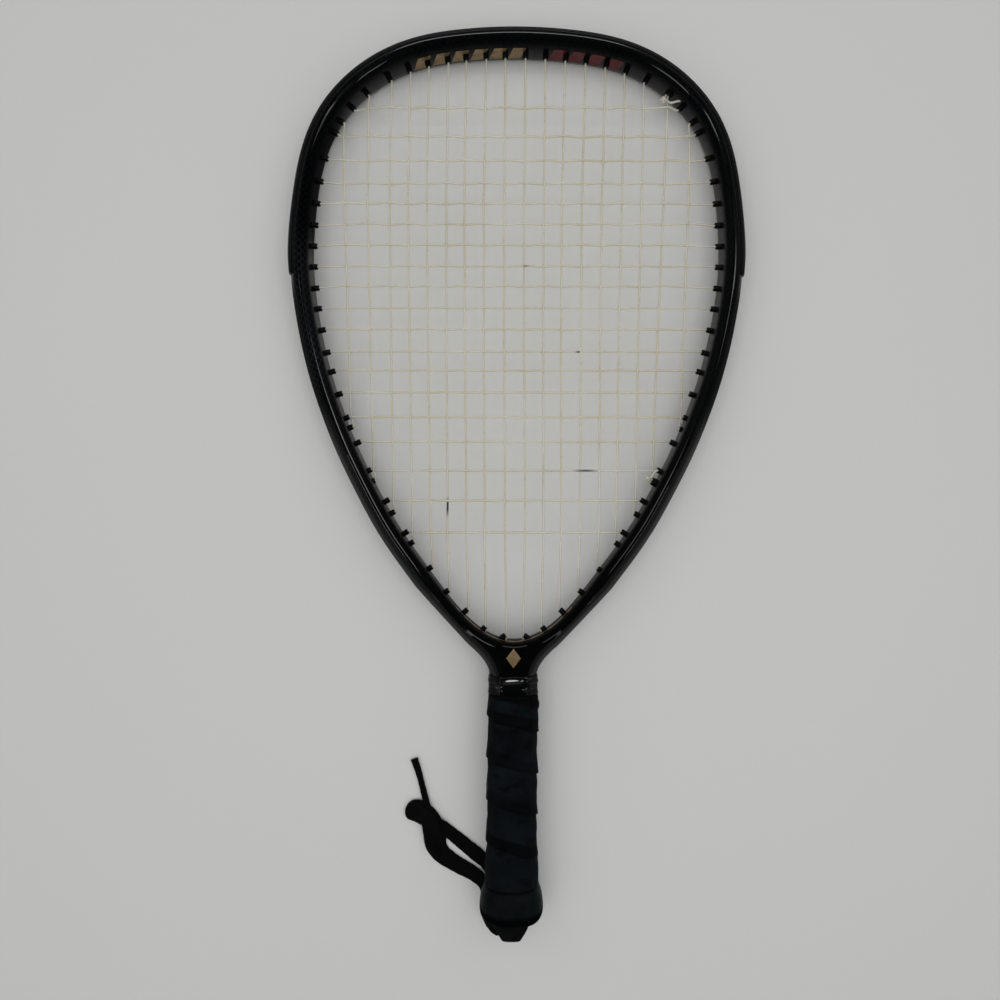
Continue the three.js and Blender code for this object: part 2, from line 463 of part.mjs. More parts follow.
// ---------------------------------------------------------------------- handle
const STAPLES = [['pallet_staple_front_upper', -140, 1], ['pallet_staple_front_lower', -218, 1],
  ['pallet_staple_back_upper', -140, -1], ['pallet_staple_back_lower', -218, -1]];
function staple(y, side, grow = 0) {
  const box = (w, l, h, x, z) => solidOf(new THREE.BoxGeometry(w + 2 * grow, l + 2 * grow, h + 2 * grow),
    new THREE.Matrix4().makeTranslation(x, y, side * z));
  const body = union([box(10, 1.2, 0.7, 0, 11.5), box(1, 1.2, 6.6, -4.5, 8.55), box(1, 1.2, 6.6, 4.5, 8.55)]);
  return grow ? body.add(box(10, 1.2, 2, 0, 12.4)) : body;
}
const halfSpace = (side) => solidOf(new THREE.BoxGeometry(60, 200, 30), new THREE.Matrix4().makeTranslation(0, -180, side * 15.2));
let pallets = octagonBar(PALLET).subtract(octagonBar({ ...SHAFT, from: -100, to: -260 }, 0.3));
for (const [, y, side] of STAPLES) {
  pallets = pallets.subtract(staple(y, side, 0.3));
  frame = frame.subtract(staple(y, side, 0.3));
}
const palletFront = pallets.intersect(halfSpace(1));
const palletBack = pallets.intersect(halfSpace(-1));

/** Grip: a band wound in a spiral, its overlaps standing up as ridges. */
const gripRings = [];
const GRIP_STEPS = 32, GRIP_SIDES = 16;
for (let i = 0; i <= GRIP_STEPS; i++) {
  const y = GRIP.from + ((GRIP.to - GRIP.from) * i) / GRIP_STEPS;
  const oct = octagon(GRIP.w, GRIP.h, GRIP.c, y);
  const ring = [];
  for (let k = 0; k < GRIP_SIDES; k++) {
    const a = oct[(k >> 1) % 8], b = oct[((k >> 1) + 1) % 8], f = (k % 2) * 0.5;
    const x = a[0] + (b[0] - a[0]) * f, z = a[2] + (b[2] - a[2]) * f;
    const turn = Math.atan2(z, x) / (2 * Math.PI);
    let s = (-(y - GRIP.from) / GRIP.pitch + turn + 10) % 1;
    const grow = GRIP.ridge * Math.max(0, 1 - Math.abs(s - 0.5) / 0.16);
    const l = Math.hypot(x, z);
    ring.push([x * (1 + grow / l), y, z * (1 + grow / l)]);
  }
  gripRings.push(ring);
}
const grip = loft(gripRings).subtract(octagonBar({ ...PALLET, from: -100, to: -260 }, 0.3));
const tape = loft([octagon(14.6, 12, 4.2, TAPE.from), octagon(15, 12.4, 4.4, -108.6), octagon(TAPE.w, TAPE.h, TAPE.c, -112),
  octagon(14.9, 12.4, 4.5, -115), octagon(TAPE.w, TAPE.h, TAPE.c, TAPE.to)])
  .subtract(octagonBar({ ...NECK_BAND, from: -100, to: -130 }, 0.3));

// -------------------------------------------------------------------- butt cap
/** Rounded section with 16 corners: half-width w, half-height h. */
const rounded = (w, h, y) => Array.from({ length: 16 }, (_, k) => {
  const a = ((k + 0.5) / 16) * Math.PI * 2, c = Math.cos(a), s = Math.sin(a), e = 2 / 2.7;
  return [Math.sign(c) * Math.abs(c) ** e * w, y, Math.sign(s) * Math.abs(s) ** e * h];
});
const flare = 1 / Math.cos(Math.PI / 16) ** (2 / 2.7); // so that the flats reach w and h
let cap = loft(CAP.map(([y, w, h]) => rounded(w * flare, h * flare, y)));
cap = cap.subtract(octagonBar({ ...PALLET, from: -220, to: -244 }, 0.3))
  .subtract(octagonBar({ ...SHAFT, from: -220, to: -247 }, 0.3))
  .subtract(octagonBar({ w: 10.9, h: 6.8, c: 2.4, from: -255.2, to: -264 }))
  .subtract(octagonBar({ w: 5.3, h: 3.8, c: 1.4, from: -240, to: -264 }));
const lugSide = [[LUG.root, LUG.from + 0.3], [10.4, -259.6], [9.5, -262.2], [6.7, -267.2], [LUG.tip, LUG.to + 0.6], [LUG.tip - 1, LUG.to]];
const lugShape = [...lugSide, ...lugSide.slice().reverse().map(([x, y]) => [-x, y])];
const plate = (z) => {
  const g = new THREE.ExtrudeGeometry(new THREE.Shape(lugShape.map(([x, y]) => new THREE.Vector2(x, y))), { depth: LUG.out - LUG.in, bevelEnabled: false });
  return solidOf(g, new THREE.Matrix4().makeTranslation(0, 0, z));
};
const plug = union([
  octagonBar({ w: 10.6, h: 6.5, c: 2.3, from: -255.5, to: -258.2 }),
  octagonBar({ w: 5, h: 3.5, c: 1.3, from: -249, to: -256 }),
  plate(LUG.in), plate(-LUG.out),
  solidOf(new THREE.CylinderGeometry(POST.r, POST.r, 2 * LUG.in + 1, 10), new THREE.Matrix4().makeTranslation(0, POST.y, 0).multiply(new THREE.Matrix4().makeRotationX(Math.PI / 2))),
]);

// --------------------------------------------------------------------- lanyard
/** Flat band along a route: each point has its own width and thickness. */
function band(route, stand = -4) {
  const pts = route.map(([x, y, z]) => V(x, y, z));
  return loft(pts.map((p, i) => {
    const t = V(0, 0).subVectors(pts[Math.min(pts.length - 1, i + 1)], pts[Math.max(0, i - 1)]).normalize();
    // the band stands on edge at the post and lies flat further on
    const upright = i < stand ? 1 : i < stand + 4 ? 1 - (i - stand + 1) / 4 : 0;
    const flat = V(0, 0, 1).cross(t);
    if (flat.length() < 0.3) flat.set(0, 1, 0);
    flat.normalize();
    const wide = flat.multiplyScalar(1 - upright).add(V(0, 0, 1).multiplyScalar(upright));
    wide.addScaledVector(t, -wide.dot(t)).normalize();
    const thin = t.clone().cross(wide).normalize();
    const w = route[i][3] / 2, h = route[i][4] / 2;
    return [[1, 0.35], [0.8, 1], [-0.8, 1], [-1, 0.35], [-1, -0.35], [-0.8, -1], [0.8, -1], [1, -0.35]].map(([a, b]) => {
      const q = p.clone().addScaledVector(wide, a * w).addScaledVector(thin, b * h);
      return [q.x, q.y, q.z];
    });
  }));
}
/** Pillow of a closed outline, from z = 0.1 up to a height. */
function pillow(outline, height) {
  const cx = outline.reduce((s, p) => s + p[0], 0) / outline.length, cy = outline.reduce((s, p) => s + p[1], 0) / outline.length;
  const ring = (k, z) => outline.map(([x, y]) => [cx + (x - cx) * k, cy + (y - cy) * k, z]);
  return loft([ring(0.93, 0.1), ring(1, height * 0.3), ring(1, height * 0.62), ring(0.9, height)], { capPlane: outline });
}
const upperStrand = band(UPPER_STRAND, 5);
const lowerStrand = band(LOWER_STRAND, 5);
const knot = pillow(KNOT_OUTLINE, 5).subtract(band([[-36.5, -224.4, 1.2, 9.6, 2.6], [-43.6, -218.6, 1.2, 9.6, 2.6]]));
const tail = band(TAIL);
const shortEnd = pillow(SHORT_END_OUTLINE, 3.6);

// -------------------------------------------------------------------- assembly
const material = (color, roughness, metalness = 0) => new THREE.MeshStandardMaterial({ color, roughness, metalness });
const graphite = material(0x17191c, 0.28, 0.1);
const nylon = material(0x101113, 0.5);
const stringGut = material(0xe9e4c4, 0.35);
const foam = material(0x4a4238, 0.85);
const steel = material(0xb8bcc0, 0.35, 0.9);
const gripMaterial = material(0x2b3138, 0.72);
const tapeMaterial = material(0x0c0d0e, 0.18);
const rubber = material(0x2f353b, 0.6);
const webbing = material(0x0d0e11, 0.9);

const racket = new THREE.Group();
racket.rotation.x = REST_TILT;
racket.position.set(0, SHIFT_Y, LIFT);
const lanyard = new THREE.Group();
const group = new THREE.Group();
group.add(racket, lanyard);

function addPiece(parent, name, manifold, look) {
  const mesh = new THREE.Mesh(geometryOf(manifold), look);
  mesh.name = name;
  parent.add(mesh);
}
addPiece(racket, 'frame', frame, graphite);
addPiece(racket, 'bumper_guard', bumper, nylon);
addPiece(racket, 'grommet_strip_left', stripLeft, nylon);
addPiece(racket, 'grommet_strip_right', stripRight, nylon);
addPiece(racket, 'main_string', mainString, stringGut);
addPiece(racket, 'cross_string', crossString, stringGut);
addPiece(racket, 'pallet_front', palletFront, foam);
addPiece(racket, 'pallet_back', palletBack, foam);
for (const [name, y, side] of STAPLES) addPiece(racket, name, staple(y, side), steel);
addPiece(racket, 'grip_wrap', grip, gripMaterial);
addPiece(racket, 'finishing_tape', tape, tapeMaterial);
addPiece(racket, 'butt_cap', cap, rubber);
addPiece(racket, 'lanyard_plug', plug, nylon);
addPiece(lanyard, 'lanyard_strand_upper', upperStrand, webbing);
addPiece(lanyard, 'lanyard_strand_lower', lowerStrand, webbing);
addPiece(lanyard, 'lanyard_knot', knot, webbing);
addPiece(lanyard, 'lanyard_tail', tail, webbing);
addPiece(lanyard, 'lanyard_short_end', shortEnd, webbing);

export default group;
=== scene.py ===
"""Racquetball racket laid face up on a pale floor, seen square on from above.

Everything on the racket is worked out in the racket's own frame, in
millimetres (string plane z = 0, +Y towards the head), and then laid down in
the row frame, in metres. The lanyard is worked out on the floor itself.
"""

import math

import bpy
import numpy as np
from mathutils import Matrix, Vector


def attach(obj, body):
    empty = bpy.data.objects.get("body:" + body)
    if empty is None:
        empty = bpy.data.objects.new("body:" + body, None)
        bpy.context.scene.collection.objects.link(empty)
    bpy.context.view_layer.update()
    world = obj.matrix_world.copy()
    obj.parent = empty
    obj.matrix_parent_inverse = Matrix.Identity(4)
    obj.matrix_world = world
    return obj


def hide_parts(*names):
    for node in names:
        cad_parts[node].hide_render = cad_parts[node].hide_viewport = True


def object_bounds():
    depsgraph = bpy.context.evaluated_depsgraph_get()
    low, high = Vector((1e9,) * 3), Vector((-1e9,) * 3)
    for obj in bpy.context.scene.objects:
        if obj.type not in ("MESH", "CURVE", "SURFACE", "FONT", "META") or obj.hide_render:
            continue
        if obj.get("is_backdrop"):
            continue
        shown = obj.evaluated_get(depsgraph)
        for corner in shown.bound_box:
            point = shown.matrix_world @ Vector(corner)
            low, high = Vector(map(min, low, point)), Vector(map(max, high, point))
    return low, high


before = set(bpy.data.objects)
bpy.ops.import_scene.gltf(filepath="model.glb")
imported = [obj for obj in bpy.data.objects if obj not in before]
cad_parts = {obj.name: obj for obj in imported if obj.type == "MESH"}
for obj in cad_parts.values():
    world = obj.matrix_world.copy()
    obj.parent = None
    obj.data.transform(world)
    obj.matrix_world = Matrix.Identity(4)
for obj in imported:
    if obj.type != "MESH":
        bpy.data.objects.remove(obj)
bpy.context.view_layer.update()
rng = np.random.default_rng(7)

# ------------------------------------------------------------------ placement
REST_TILT = math.radians(0.667)
LIFT, SHIFT_Y = 14.583, -9.66
CT, ST = math.cos(REST_TILT), math.sin(REST_TILT)


def lay(points):
    """Racket millimetres to row-frame metres."""
    p = np.asarray(points, float).reshape(-1, 3)
    return np.stack([p[:, 0], p[:, 1] * CT + p[:, 2] * ST + SHIFT_Y, -p[:, 1] * ST + p[:, 2] * CT + LIFT], 1) / 1000


def turn(v):
    """A racket direction in the row frame."""
    return Vector((v[0], v[1] * CT + v[2] * ST, -v[1] * ST + v[2] * CT))


# --------------------------------------------------------------------- camera
CAM_H = 464.0  # above the string plane
CAM_OFF = 8.551
LEAN = math.radians(0.458)
cam_data = bpy.data.cameras.new("camera")
cam = bpy.data.objects.new("camera", cam_data)
bpy.context.scene.collection.objects.link(cam)
cam_data.sensor_width = 36.0
cam_data.lens = 36.0 * 0.751
cam_data.clip_start, cam_data.clip_end = 0.01, 20
cam_data.shift_x, cam_data.shift_y = -0.0006, 0.0005
right = turn((math.cos(LEAN), math.sin(LEAN), 0))
up = turn((-math.sin(LEAN), math.cos(LEAN), 0))
back = turn((0, 0, 1))
cam_at = Vector(lay([[-CAM_OFF * math.cos(LEAN), -CAM_OFF * math.sin(LEAN), CAM_H]])[0])
m = Matrix((right, up, back)).transposed().to_4x4()
m.translation = cam_at
cam.matrix_world = m
bpy.context.scene.camera = cam

# ------------------------------------------------------------------ materials


class Mat:
    """A node material with short helpers."""

    def __init__(self, name, **values):
        self.m = bpy.data.materials.new(name)
        self.m.use_nodes = True
        self.t = self.m.node_tree
        self.b = self.t.nodes["Principled BSDF"]
        for key, value in values.items():
            self.b.inputs[key.replace("_", " ")].default_value = value

    def node(self, kind, inputs=None, **props):
        n = self.t.nodes.new(kind)
        for k, v in props.items():
            setattr(n, k, v)
        for k, v in (inputs or {}).items():
            if isinstance(v, bpy.types.NodeSocket):
                self.t.links.new(v, n.inputs[k])
            else:
                n.inputs[k].default_value = v
        return n

    def link(self, a, b):
        self.t.links.new(a, self.b.inputs[b] if isinstance(b, str) else b)

    def coords(self, scale=(1, 1, 1), rotation=(0, 0, 0)):
        c = self.node("ShaderNodeTexCoord")
        return self.node("ShaderNodeMapping", {"Vector": c.outputs["Object"], "Scale": scale, "Rotation": rotation}).outputs[0]

    def noise(self, vector, scale, detail=3, rough=0.55):
        return self.node("ShaderNodeTexNoise", {"Vector": vector, "Scale": scale, "Detail": detail, "Roughness": rough}).outputs["Fac"]

    def ramp(self, fac, stops):
        n = self.node("ShaderNodeValToRGB", {"Fac": fac})
        e = n.color_ramp.elements
        while len(e) < len(stops):
            e.new(0.5)
        for el, (p, c) in zip(e, stops):
            el.position = p
            el.color = (*c, 1) if len(c) == 3 else c
        return n.outputs["Color"]

    def remap(self, v, a, b, c, d):
        return self.node("ShaderNodeMapRange", {"Value": v, "From Min": a, "From Max": b, "To Min": c, "To Max": d}).outputs[0]

    def math(self, op, a, b=0.5):
        n = self.node("ShaderNodeMath", operation=op)
        for k, v in ((0, a), (1, b)):
            if isinstance(v, bpy.types.NodeSocket):
                self.t.links.new(v, n.inputs[k])
            else:
                n.inputs[k].default_value = v
        return n.outputs[0]

    def mix(self, fac, a, b):
        n = self.node("ShaderNodeMix", data_type="RGBA")
        for k, v in ((0, fac), (6, a), (7, b)):
            if isinstance(v, bpy.types.NodeSocket):
                self.t.links.new(v, n.inputs[k])
            else:
                n.inputs[k].default_value = (*v, 1) if isinstance(v, tuple) else v
        return n.outputs[2]

    def bump(self, height, strength, distance):
        n = self.node("ShaderNodeBump", {"Height": height, "Strength": strength, "Distance": distance})
        self.link(n.outputs[0], "Normal")
        return n.outputs[0]


def attribute(mat, name):
    return mat.node("ShaderNodeAttribute", attribute_name=name).outputs["Fac"]


def graphite_material():
    m = Mat("graphite", Metallic=0.0, Coat_Roughness=0.03, IOR=1.5)
    c = m.coords()
    spots = m.node("ShaderNodeTexVoronoi", {"Vector": c, "Scale": 1300.0}, feature="F1").outputs["Distance"]
    fleck = m.remap(spots, 0.12, 0.34, 1.0, 0.0)
    cloud = m.noise(c, 60, 4)
    base = m.mix(m.math("MULTIPLY", fleck, m.remap(cloud, 0.35, 0.7, 0.05, 0.6)), (0.0008, 0.0010, 0.0012), (0.011, 0.0125, 0.0145))
    # the cloth of the laminate, a fine square weave that shows here and there on face and sides
    u, v = attribute(m, "run"), attribute(m, "side")
    cell = m.math("MULTIPLY", m.math("SINE", m.math("MULTIPLY", u, 2 * math.pi / 4.4)), m.math("SINE", m.math("MULTIPLY", v, 2 * math.pi / 3.8)))
    show = m.math("MULTIPLY", m.remap(m.noise(c, 22, 2), 0.42, 0.62, 0.45, 1.0), attribute(m, "cloth"))
    base = m.mix(m.math("MULTIPLY", m.remap(cell, -0.25, 0.5, 0.0, 0.85), show), base, (0.0105, 0.0125, 0.0145))
    wall = attribute(m, "wall")
    base = m.mix(wall, base, m.mix(m.remap(cloud, 0.3, 0.7, 0.0, 1.0), (0.0022, 0.0024, 0.0027), (0.0050, 0.0054, 0.0060)))
    m.link(base, "Base Color")
    rough = m.remap(m.noise(c, 220, 4), 0.3, 0.7, 0.18, 0.28)
    m.link(m.math("ADD", rough, m.math("MULTIPLY", wall, 0.25)), "Roughness")
    # the lacquer is thick on face and sides and thin where the inner wall turns up to the face
    gleam = attribute(m, "gleam")
    m.link(m.math("MULTIPLY", gleam, 0.55), "Coat Weight")
    m.link(m.remap(gleam, 0.3, 1.0, 0.0, 0.10), "Specular IOR Level")
    m.bump(m.noise(c, 900, 2), 0.03, 0.0002)
    return m.m


def nylon_material(name, tone, rough, scale=1400):
    m = Mat(name, Metallic=0.0, IOR=1.5, Specular_IOR_Level=0.12)
    c = m.coords()
    n = m.noise(c, scale, 3)
    worn = m.noise(c, 45, 5)
    m.link(m.mix(m.remap(worn, 0.45, 0.75, 0, 1), tuple(tone), tuple(min(1, t * 1.9 + 0.002) for t in tone)), "Base Color")
    m.link(m.remap(worn, 0.3, 0.7, rough - 0.07, rough + 0.09), "Roughness")
    m.bump(n, 0.12, 0.0002)
    return m.m


def string_material():
    m = Mat("string", Metallic=0.0, IOR=1.52, Subsurface_Weight=0.1, Subsurface_Scale=0.001, Coat_Weight=0.4, Coat_Roughness=0.15)
    m.b.inputs["Subsurface Radius"].default_value = (1.0, 0.8, 0.5)
    c = m.coords()
    tint = m.noise(c, 30, 3)
    base = m.mix(m.remap(tint, 0.35, 0.68, 0, 1), (0.665, 0.635, 0.475), (0.745, 0.735, 0.63))
    # the strings' colour is mixed towards grey close to the frame, strongest within 3 mm of it and gone 17 mm away
    frame_grey_mask = attribute(m, "grime")
    base = m.mix(frame_grey_mask, base, (0.32, 0.32, 0.29))
    scuff = attribute(m, "scuff")
    base = m.mix(scuff, base, (0.03, 0.03, 0.03))
    m.link(base, "Base Color")
    m.link(m.remap(m.noise(c, 300, 2), 0.3, 0.7, 0.24, 0.4), "Roughness")
    m.bump(m.noise(m.coords((1, 1, 1)), 2600, 2), 0.08, 0.0001)
    return m.m


def grip_material():
    m = Mat("grip", Metallic=0.0, IOR=1.45, Specular_IOR_Level=0.07)
    c = m.coords()
    soft = m.noise(c, 55, 5)
    fine = m.noise(c, 1800, 3)
    # painted shade: the colour goes near black where each turn laps over the next and just under the tape's edge
    seam = attribute(m, "seam")
    base = m.mix(m.remap(soft, 0.32, 0.7, 0, 1), (0.0012, 0.0021, 0.0026), (0.0048, 0.0076, 0.0092))
    worn = m.remap(m.noise(m.coords((1, 1.6, 1)), 95, 4), 0.54, 0.66, 0, 0.85)
    base = m.mix(worn, base, (0.0008, 0.0013, 0.0016))
    base = m.mix(seam, base, (0.0004, 0.0006, 0.0008))
    m.link(base, "Base Color")
    m.link(m.remap(soft, 0.3, 0.7, 0.56, 0.72), "Roughness")
    pores = m.node("ShaderNodeTexVoronoi", {"Vector": c, "Scale": 700.0}, feature="F1").outputs["Distance"]
    h = m.math("ADD", m.math("MULTIPLY", fine, 0.5), m.remap(pores, 0.0, 0.35, -0.5, 0.0))
    m.bump(h, 0.35, 0.0003)
    return m.m


def cap_material():
    m = Mat("cap_rubber", Metallic=0.0, IOR=1.45)
    c = m.coords()
    cloud = m.noise(c, 70, 5)
    base = m.mix(m.remap(cloud, 0.35, 0.7, 0, 1), (0.0018, 0.0032, 0.0034), (0.0050, 0.0078, 0.0084))
    # painted shade: the flare's underside and a line just below the wrap's edge are darkened and lose their specular
    m.link(m.mix(attribute(m, "seam"), base, (0.0004, 0.0006, 0.0007)), "Base Color")
    m.link(m.remap(m.noise(c, 160, 3), 0.3, 0.7, 0.44, 0.6), "Roughness")
    m.link(m.remap(attribute(m, "seam"), 0.0, 0.8, 0.08, 0.0), "Specular IOR Level")
    m.bump(m.noise(c, 1500, 3), 0.2, 0.0002)
    return m.m


def tape_material():
    m = Mat("tape", Metallic=0.0, IOR=1.5, Specular_IOR_Level=0.14, Coat_Roughness=0.05)
    c = m.coords((1, 1.4, 1))
    m.link(m.mix(m.noise(c, 120, 4), (0.0008, 0.0009, 0.0011), (0.0034, 0.0038, 0.0044)), "Base Color")
    m.link(attribute(m, "taut"), "Coat Weight")
    m.link(m.remap(m.noise(c, 130, 4), 0.3, 0.7, 0.1, 0.26), "Roughness")
    m.bump(m.noise(c, 700, 3), 0.15, 0.0003)
    return m.m


def webbing_material():
    m = Mat("webbing", Metallic=0.0, Sheen_Weight=0.015, Sheen_Roughness=0.5, IOR=1.4, Specular_IOR_Level=0.12)
    c = m.coords()
    along, across = attribute(m, "along"), attribute(m, "across")
    # ribs of the weave run along the band, broken by the weft
    rib = m.math("SINE", m.math("MULTIPLY", across, 24.0))
    weft = m.math("SINE", m.math("MULTIPLY", along, 2 * math.pi / 0.9))
    weave = m.math("MULTIPLY", rib, weft)
    n = m.noise(c, 500, 3)
    m.link(m.mix(m.math("MULTIPLY", m.remap(weave, -1, 1, 0.2, 1.0), n), (0.0006, 0.0007, 0.0008), (0.0048, 0.0052, 0.0052)), "Base Color")
    m.link(m.remap(n, 0.3, 0.7, 0.72, 0.9), "Roughness")
    m.bump(m.math("ADD", m.math("MULTIPLY", weave, 0.6), m.noise(c, 3500, 2)), 0.5, 0.00025)
    return m.m


def foil_material(name, tone):
    m = Mat(name, Metallic=0.55, IOR=1.5)
    c = m.coords()
    w = m.noise(c, 260, 4)
    m.link(m.mix(m.remap(w, 0.35, 0.7, 0, 1), tuple(tone), tuple(t * 0.6 for t in tone)), "Base Color")
    m.link(m.remap(w, 0.3, 0.7, 0.3, 0.5), "Roughness")
    return m.m


GRAPHITE = graphite_material()
NYLON = nylon_material("guard_nylon", (0.0016, 0.0019, 0.0022), 0.34)
BARREL = nylon_material("barrel_nylon", (0.0012, 0.0013, 0.0015), 0.42)
PLUG = nylon_material("plug_nylon", (0.0016, 0.0018, 0.0020), 0.45)
STRING = string_material()
GRIP = grip_material()
CAP_M = cap_material()
TAPE = tape_material()
WEBBING = webbing_material()
GOLD = foil_material("gold_foil", (0.30, 0.205, 0.10))
RED = foil_material("red_foil", (0.13, 0.008, 0.009))
FOAM = nylon_material("pallet_foam", (0.07, 0.055, 0.04), 0.8, 500)
STEEL = Mat("staple_steel", Metallic=1.0)
STEEL.link(STEEL.mix(STEEL.noise(STEEL.coords(), 500), (0.5, 0.51, 0.53), (0.62, 0.63, 0.65)), "Base Color")
STEEL = STEEL.m

# --------------------------------------------------------------- mesh helpers


def make(name, verts, faces, material, body="racket", slot=None, metres=False, sharp=38, attrs=None, smooth=True):
    """A mesh piece from vertices and faces, riding on a body."""
    me = bpy.data.meshes.new(name)
    pts = np.asarray(verts, float) if metres else lay(verts)
    me.from_pydata(pts.tolist(), [], [list(map(int, f)) for f in faces])
    me.validate()
    me.update()
    me.polygons.foreach_set("use_smooth", [smooth] * len(me.polygons))
    if smooth and sharp:
        me.set_sharp_from_angle(angle=math.radians(sharp))
    for key, values in (attrs or {}).items():
        a = me.attributes.new(key, "FLOAT", "POINT")
        a.data.foreach_set("value", np.asarray(values, np.float32))
    o = bpy.data.objects.new(name, me)
    bpy.context.scene.collection.objects.link(o)
    me.materials.append(material)
    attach(o, body)
    return o


def skin(rings, around=True, along=False, caps=True):
    """Faces between rings of points; rings is (rows, columns, 3)."""
    r, c = rings.shape[:2]
    i = np.arange(r if along else r - 1)[:, None]
    j = np.arange(c if around else c - 1)[None, :]
    a, b = i * c + j, i * c + (j + 1) % c
    d, e = ((i + 1) % r) * c + j, ((i + 1) % r) * c + (j + 1) % c
    faces = np.stack([a, d, e, b], -1).reshape(-1, 4).tolist()
    if caps and not along:
        faces.append(list(range(c)))
        faces.append(list(range((r - 1) * c + c - 1, (r - 1) * c - 1, -1)))
    pts = rings.reshape(-1, 3)
    # turn the faces outwards
    q = np.array([f[:3] for f in faces[: len(faces)]])
    vol = np.einsum("ij,ij->i", pts[q[:, 0]], np.cross(pts[q[:, 1]], pts[q[:, 2]])).sum()
    quads = np.array([f for f in faces if len(f) == 4])
    vol = 0.0
    for t in ((0, 1, 2), (0, 2, 3)):
        vol += np.einsum("ij,ij->i", pts[quads[:, t[0]]], np.cross(pts[quads[:, t[1]]], pts[quads[:, t[2]]])).sum()
    if vol < 0:
        faces = [f[::-1] for f in faces]
    return pts, faces


class Batch:
    """Several closed shells gathered into one piece."""

    def __init__(self):
        self.v, self.f, self.a, self.n = [], [], {}, 0

    def add(self, pts, faces, **attrs):
        self.v.append(np.asarray(pts, float))
        self.f += [[k + self.n for k in f] for f in faces]
        for key, value in attrs.items():
            self.a.setdefault(key, []).append(np.broadcast_to(np.asarray(value, float), (len(pts),)))
        self.n += len(pts)

    def make(self, name, material, **kw):
        return make(name, np.concatenate(self.v), self.f, material, attrs={k: np.concatenate(v) for k, v in self.a.items()}, **kw)


def resample(points, step):
    """A smooth line through points, cut into equal steps."""
    p = np.asarray(points, float)
    d = np.maximum(np.linalg.norm(np.diff(p, axis=0), axis=1), 1e-6)
    t = np.concatenate([[0], np.cumsum(d)])
    n = max(2, int(round(t[-1] / step)) + 1)
    u = np.linspace(0, t[-1], n)
    return np.stack([np.interp(u, t, p[:, k]) for k in range(p.shape[1])], 1)


def catmull(points, sub=8, closed=False):
    """Centripetal-ish smooth line through the points, any number of columns."""
    p = np.asarray(points, float)
    if closed:
        p = np.concatenate([p[-1:], p, p[:2]])
    else:
        p = np.concatenate([2 * p[:1] - p[1:2], p, 2 * p[-1:] - p[-2:-1]])
    out = []
    for i in range(1, len(p) - 2):
        a, b, c, d = p[i - 1], p[i], p[i + 1], p[i + 2]
        for k in range(sub):
            t = k / sub
            out.append(0.5 * (2 * b + (c - a) * t + (2 * a - 5 * b + 4 * c - d) * t * t + (3 * b - a - 3 * c + d) * t ** 3))
    if not closed:
        out.append(p[-2])
    return np.array(out)


def tangents(p):
    t = np.gradient(p, axis=0)
    return t / np.maximum(np.linalg.norm(t, axis=1, keepdims=True), 1e-9)


def tube(points, radius, sides=10, up0=(0, 0, 1)):
    """Round tube along a line, with a section that turns as little as it can."""
    p = np.asarray(points, float)
    t = tangents(p)
    r = np.broadcast_to(np.asarray(radius, float), (len(p),))
    n = np.cross(np.asarray(up0, float), t[0])
    if np.linalg.norm(n) < 0.1:
        n = np.cross((1, 0, 0), t[0])
    n /= np.linalg.norm(n)
    a = np.arange(sides) / sides * 2 * np.pi
    rings = np.empty((len(p), sides, 3))
    for i in range(len(p)):
        n = n - t[i] * np.dot(n, t[i])
        n /= np.linalg.norm(n)
        b = np.cross(t[i], n)
        rings[i] = p[i] + r[i] * (np.cos(a)[:, None] * n + np.sin(a)[:, None] * b)
    return rings


# -------------------------------------------------------------------- lanyard
# The route of each strand: x, y, z, width and thickness in millimetres.
UPPER_STRAND = [
    [2.9, -274.65, 17.7, 5.6, 1.5], [2.85, -273.7, 17.7, 5.6, 1.5], [1.8, -272.3, 17.7, 5.6, 1.5], [-0.6, -271.9, 17.7, 5.6, 1.5],
    [-4, -272.2, 17.7, 5.4, 1.5], [-7.6, -272.4, 17.4, 4.6, 1.6], [-10.3, -272.4, 15.0, 3.8, 1.8],
    [-11.9, -272.2, 10.8, 3.4, 1.8], [-12.7, -271.2, 5.8, 3.4, 1.7], [-13.2, -268.6, 2.3, 3.6, 1.4], [-13.4, -264.2, 0.85, 3.6, 1.2],
    [-13.4, -258, 0.8, 3.6, 1.2], [-13.3, -252.6, 0.8, 4.0, 1.2], [-14.1, -246.9, 0.9, 5.6, 1.4],
    [-16.6, -241.4, 1.0, 7.8, 1.5], [-21.4, -236.7, 1.0, 9.2, 1.5], [-28.5, -230.9, 1.0, 9.0, 1.5],
    [-35, -225.6, 1.0, 8.6, 1.5], [-41.4, -220.4, 1.5, 8.3, 1.5]]
TAIL = [
    [-46.4, -216.3, 2.8, 8.2, 1.5], [-50.3, -212.4, 3.9, 7.6, 1.6], [-52.7, -208.4, 3.9, 6.0, 1.9], [-53.7, -204.4, 3.2, 4.7, 2.1],
    [-54.9, -200.2, 2.2, 4.1, 2.3], [-57.0, -192.5, 1.7, 3.9, 2.3], [-59.2, -184.2, 1.6, 4.0, 2.3], [-62.3, -175.0, 1.6, 4.8, 2.3]]
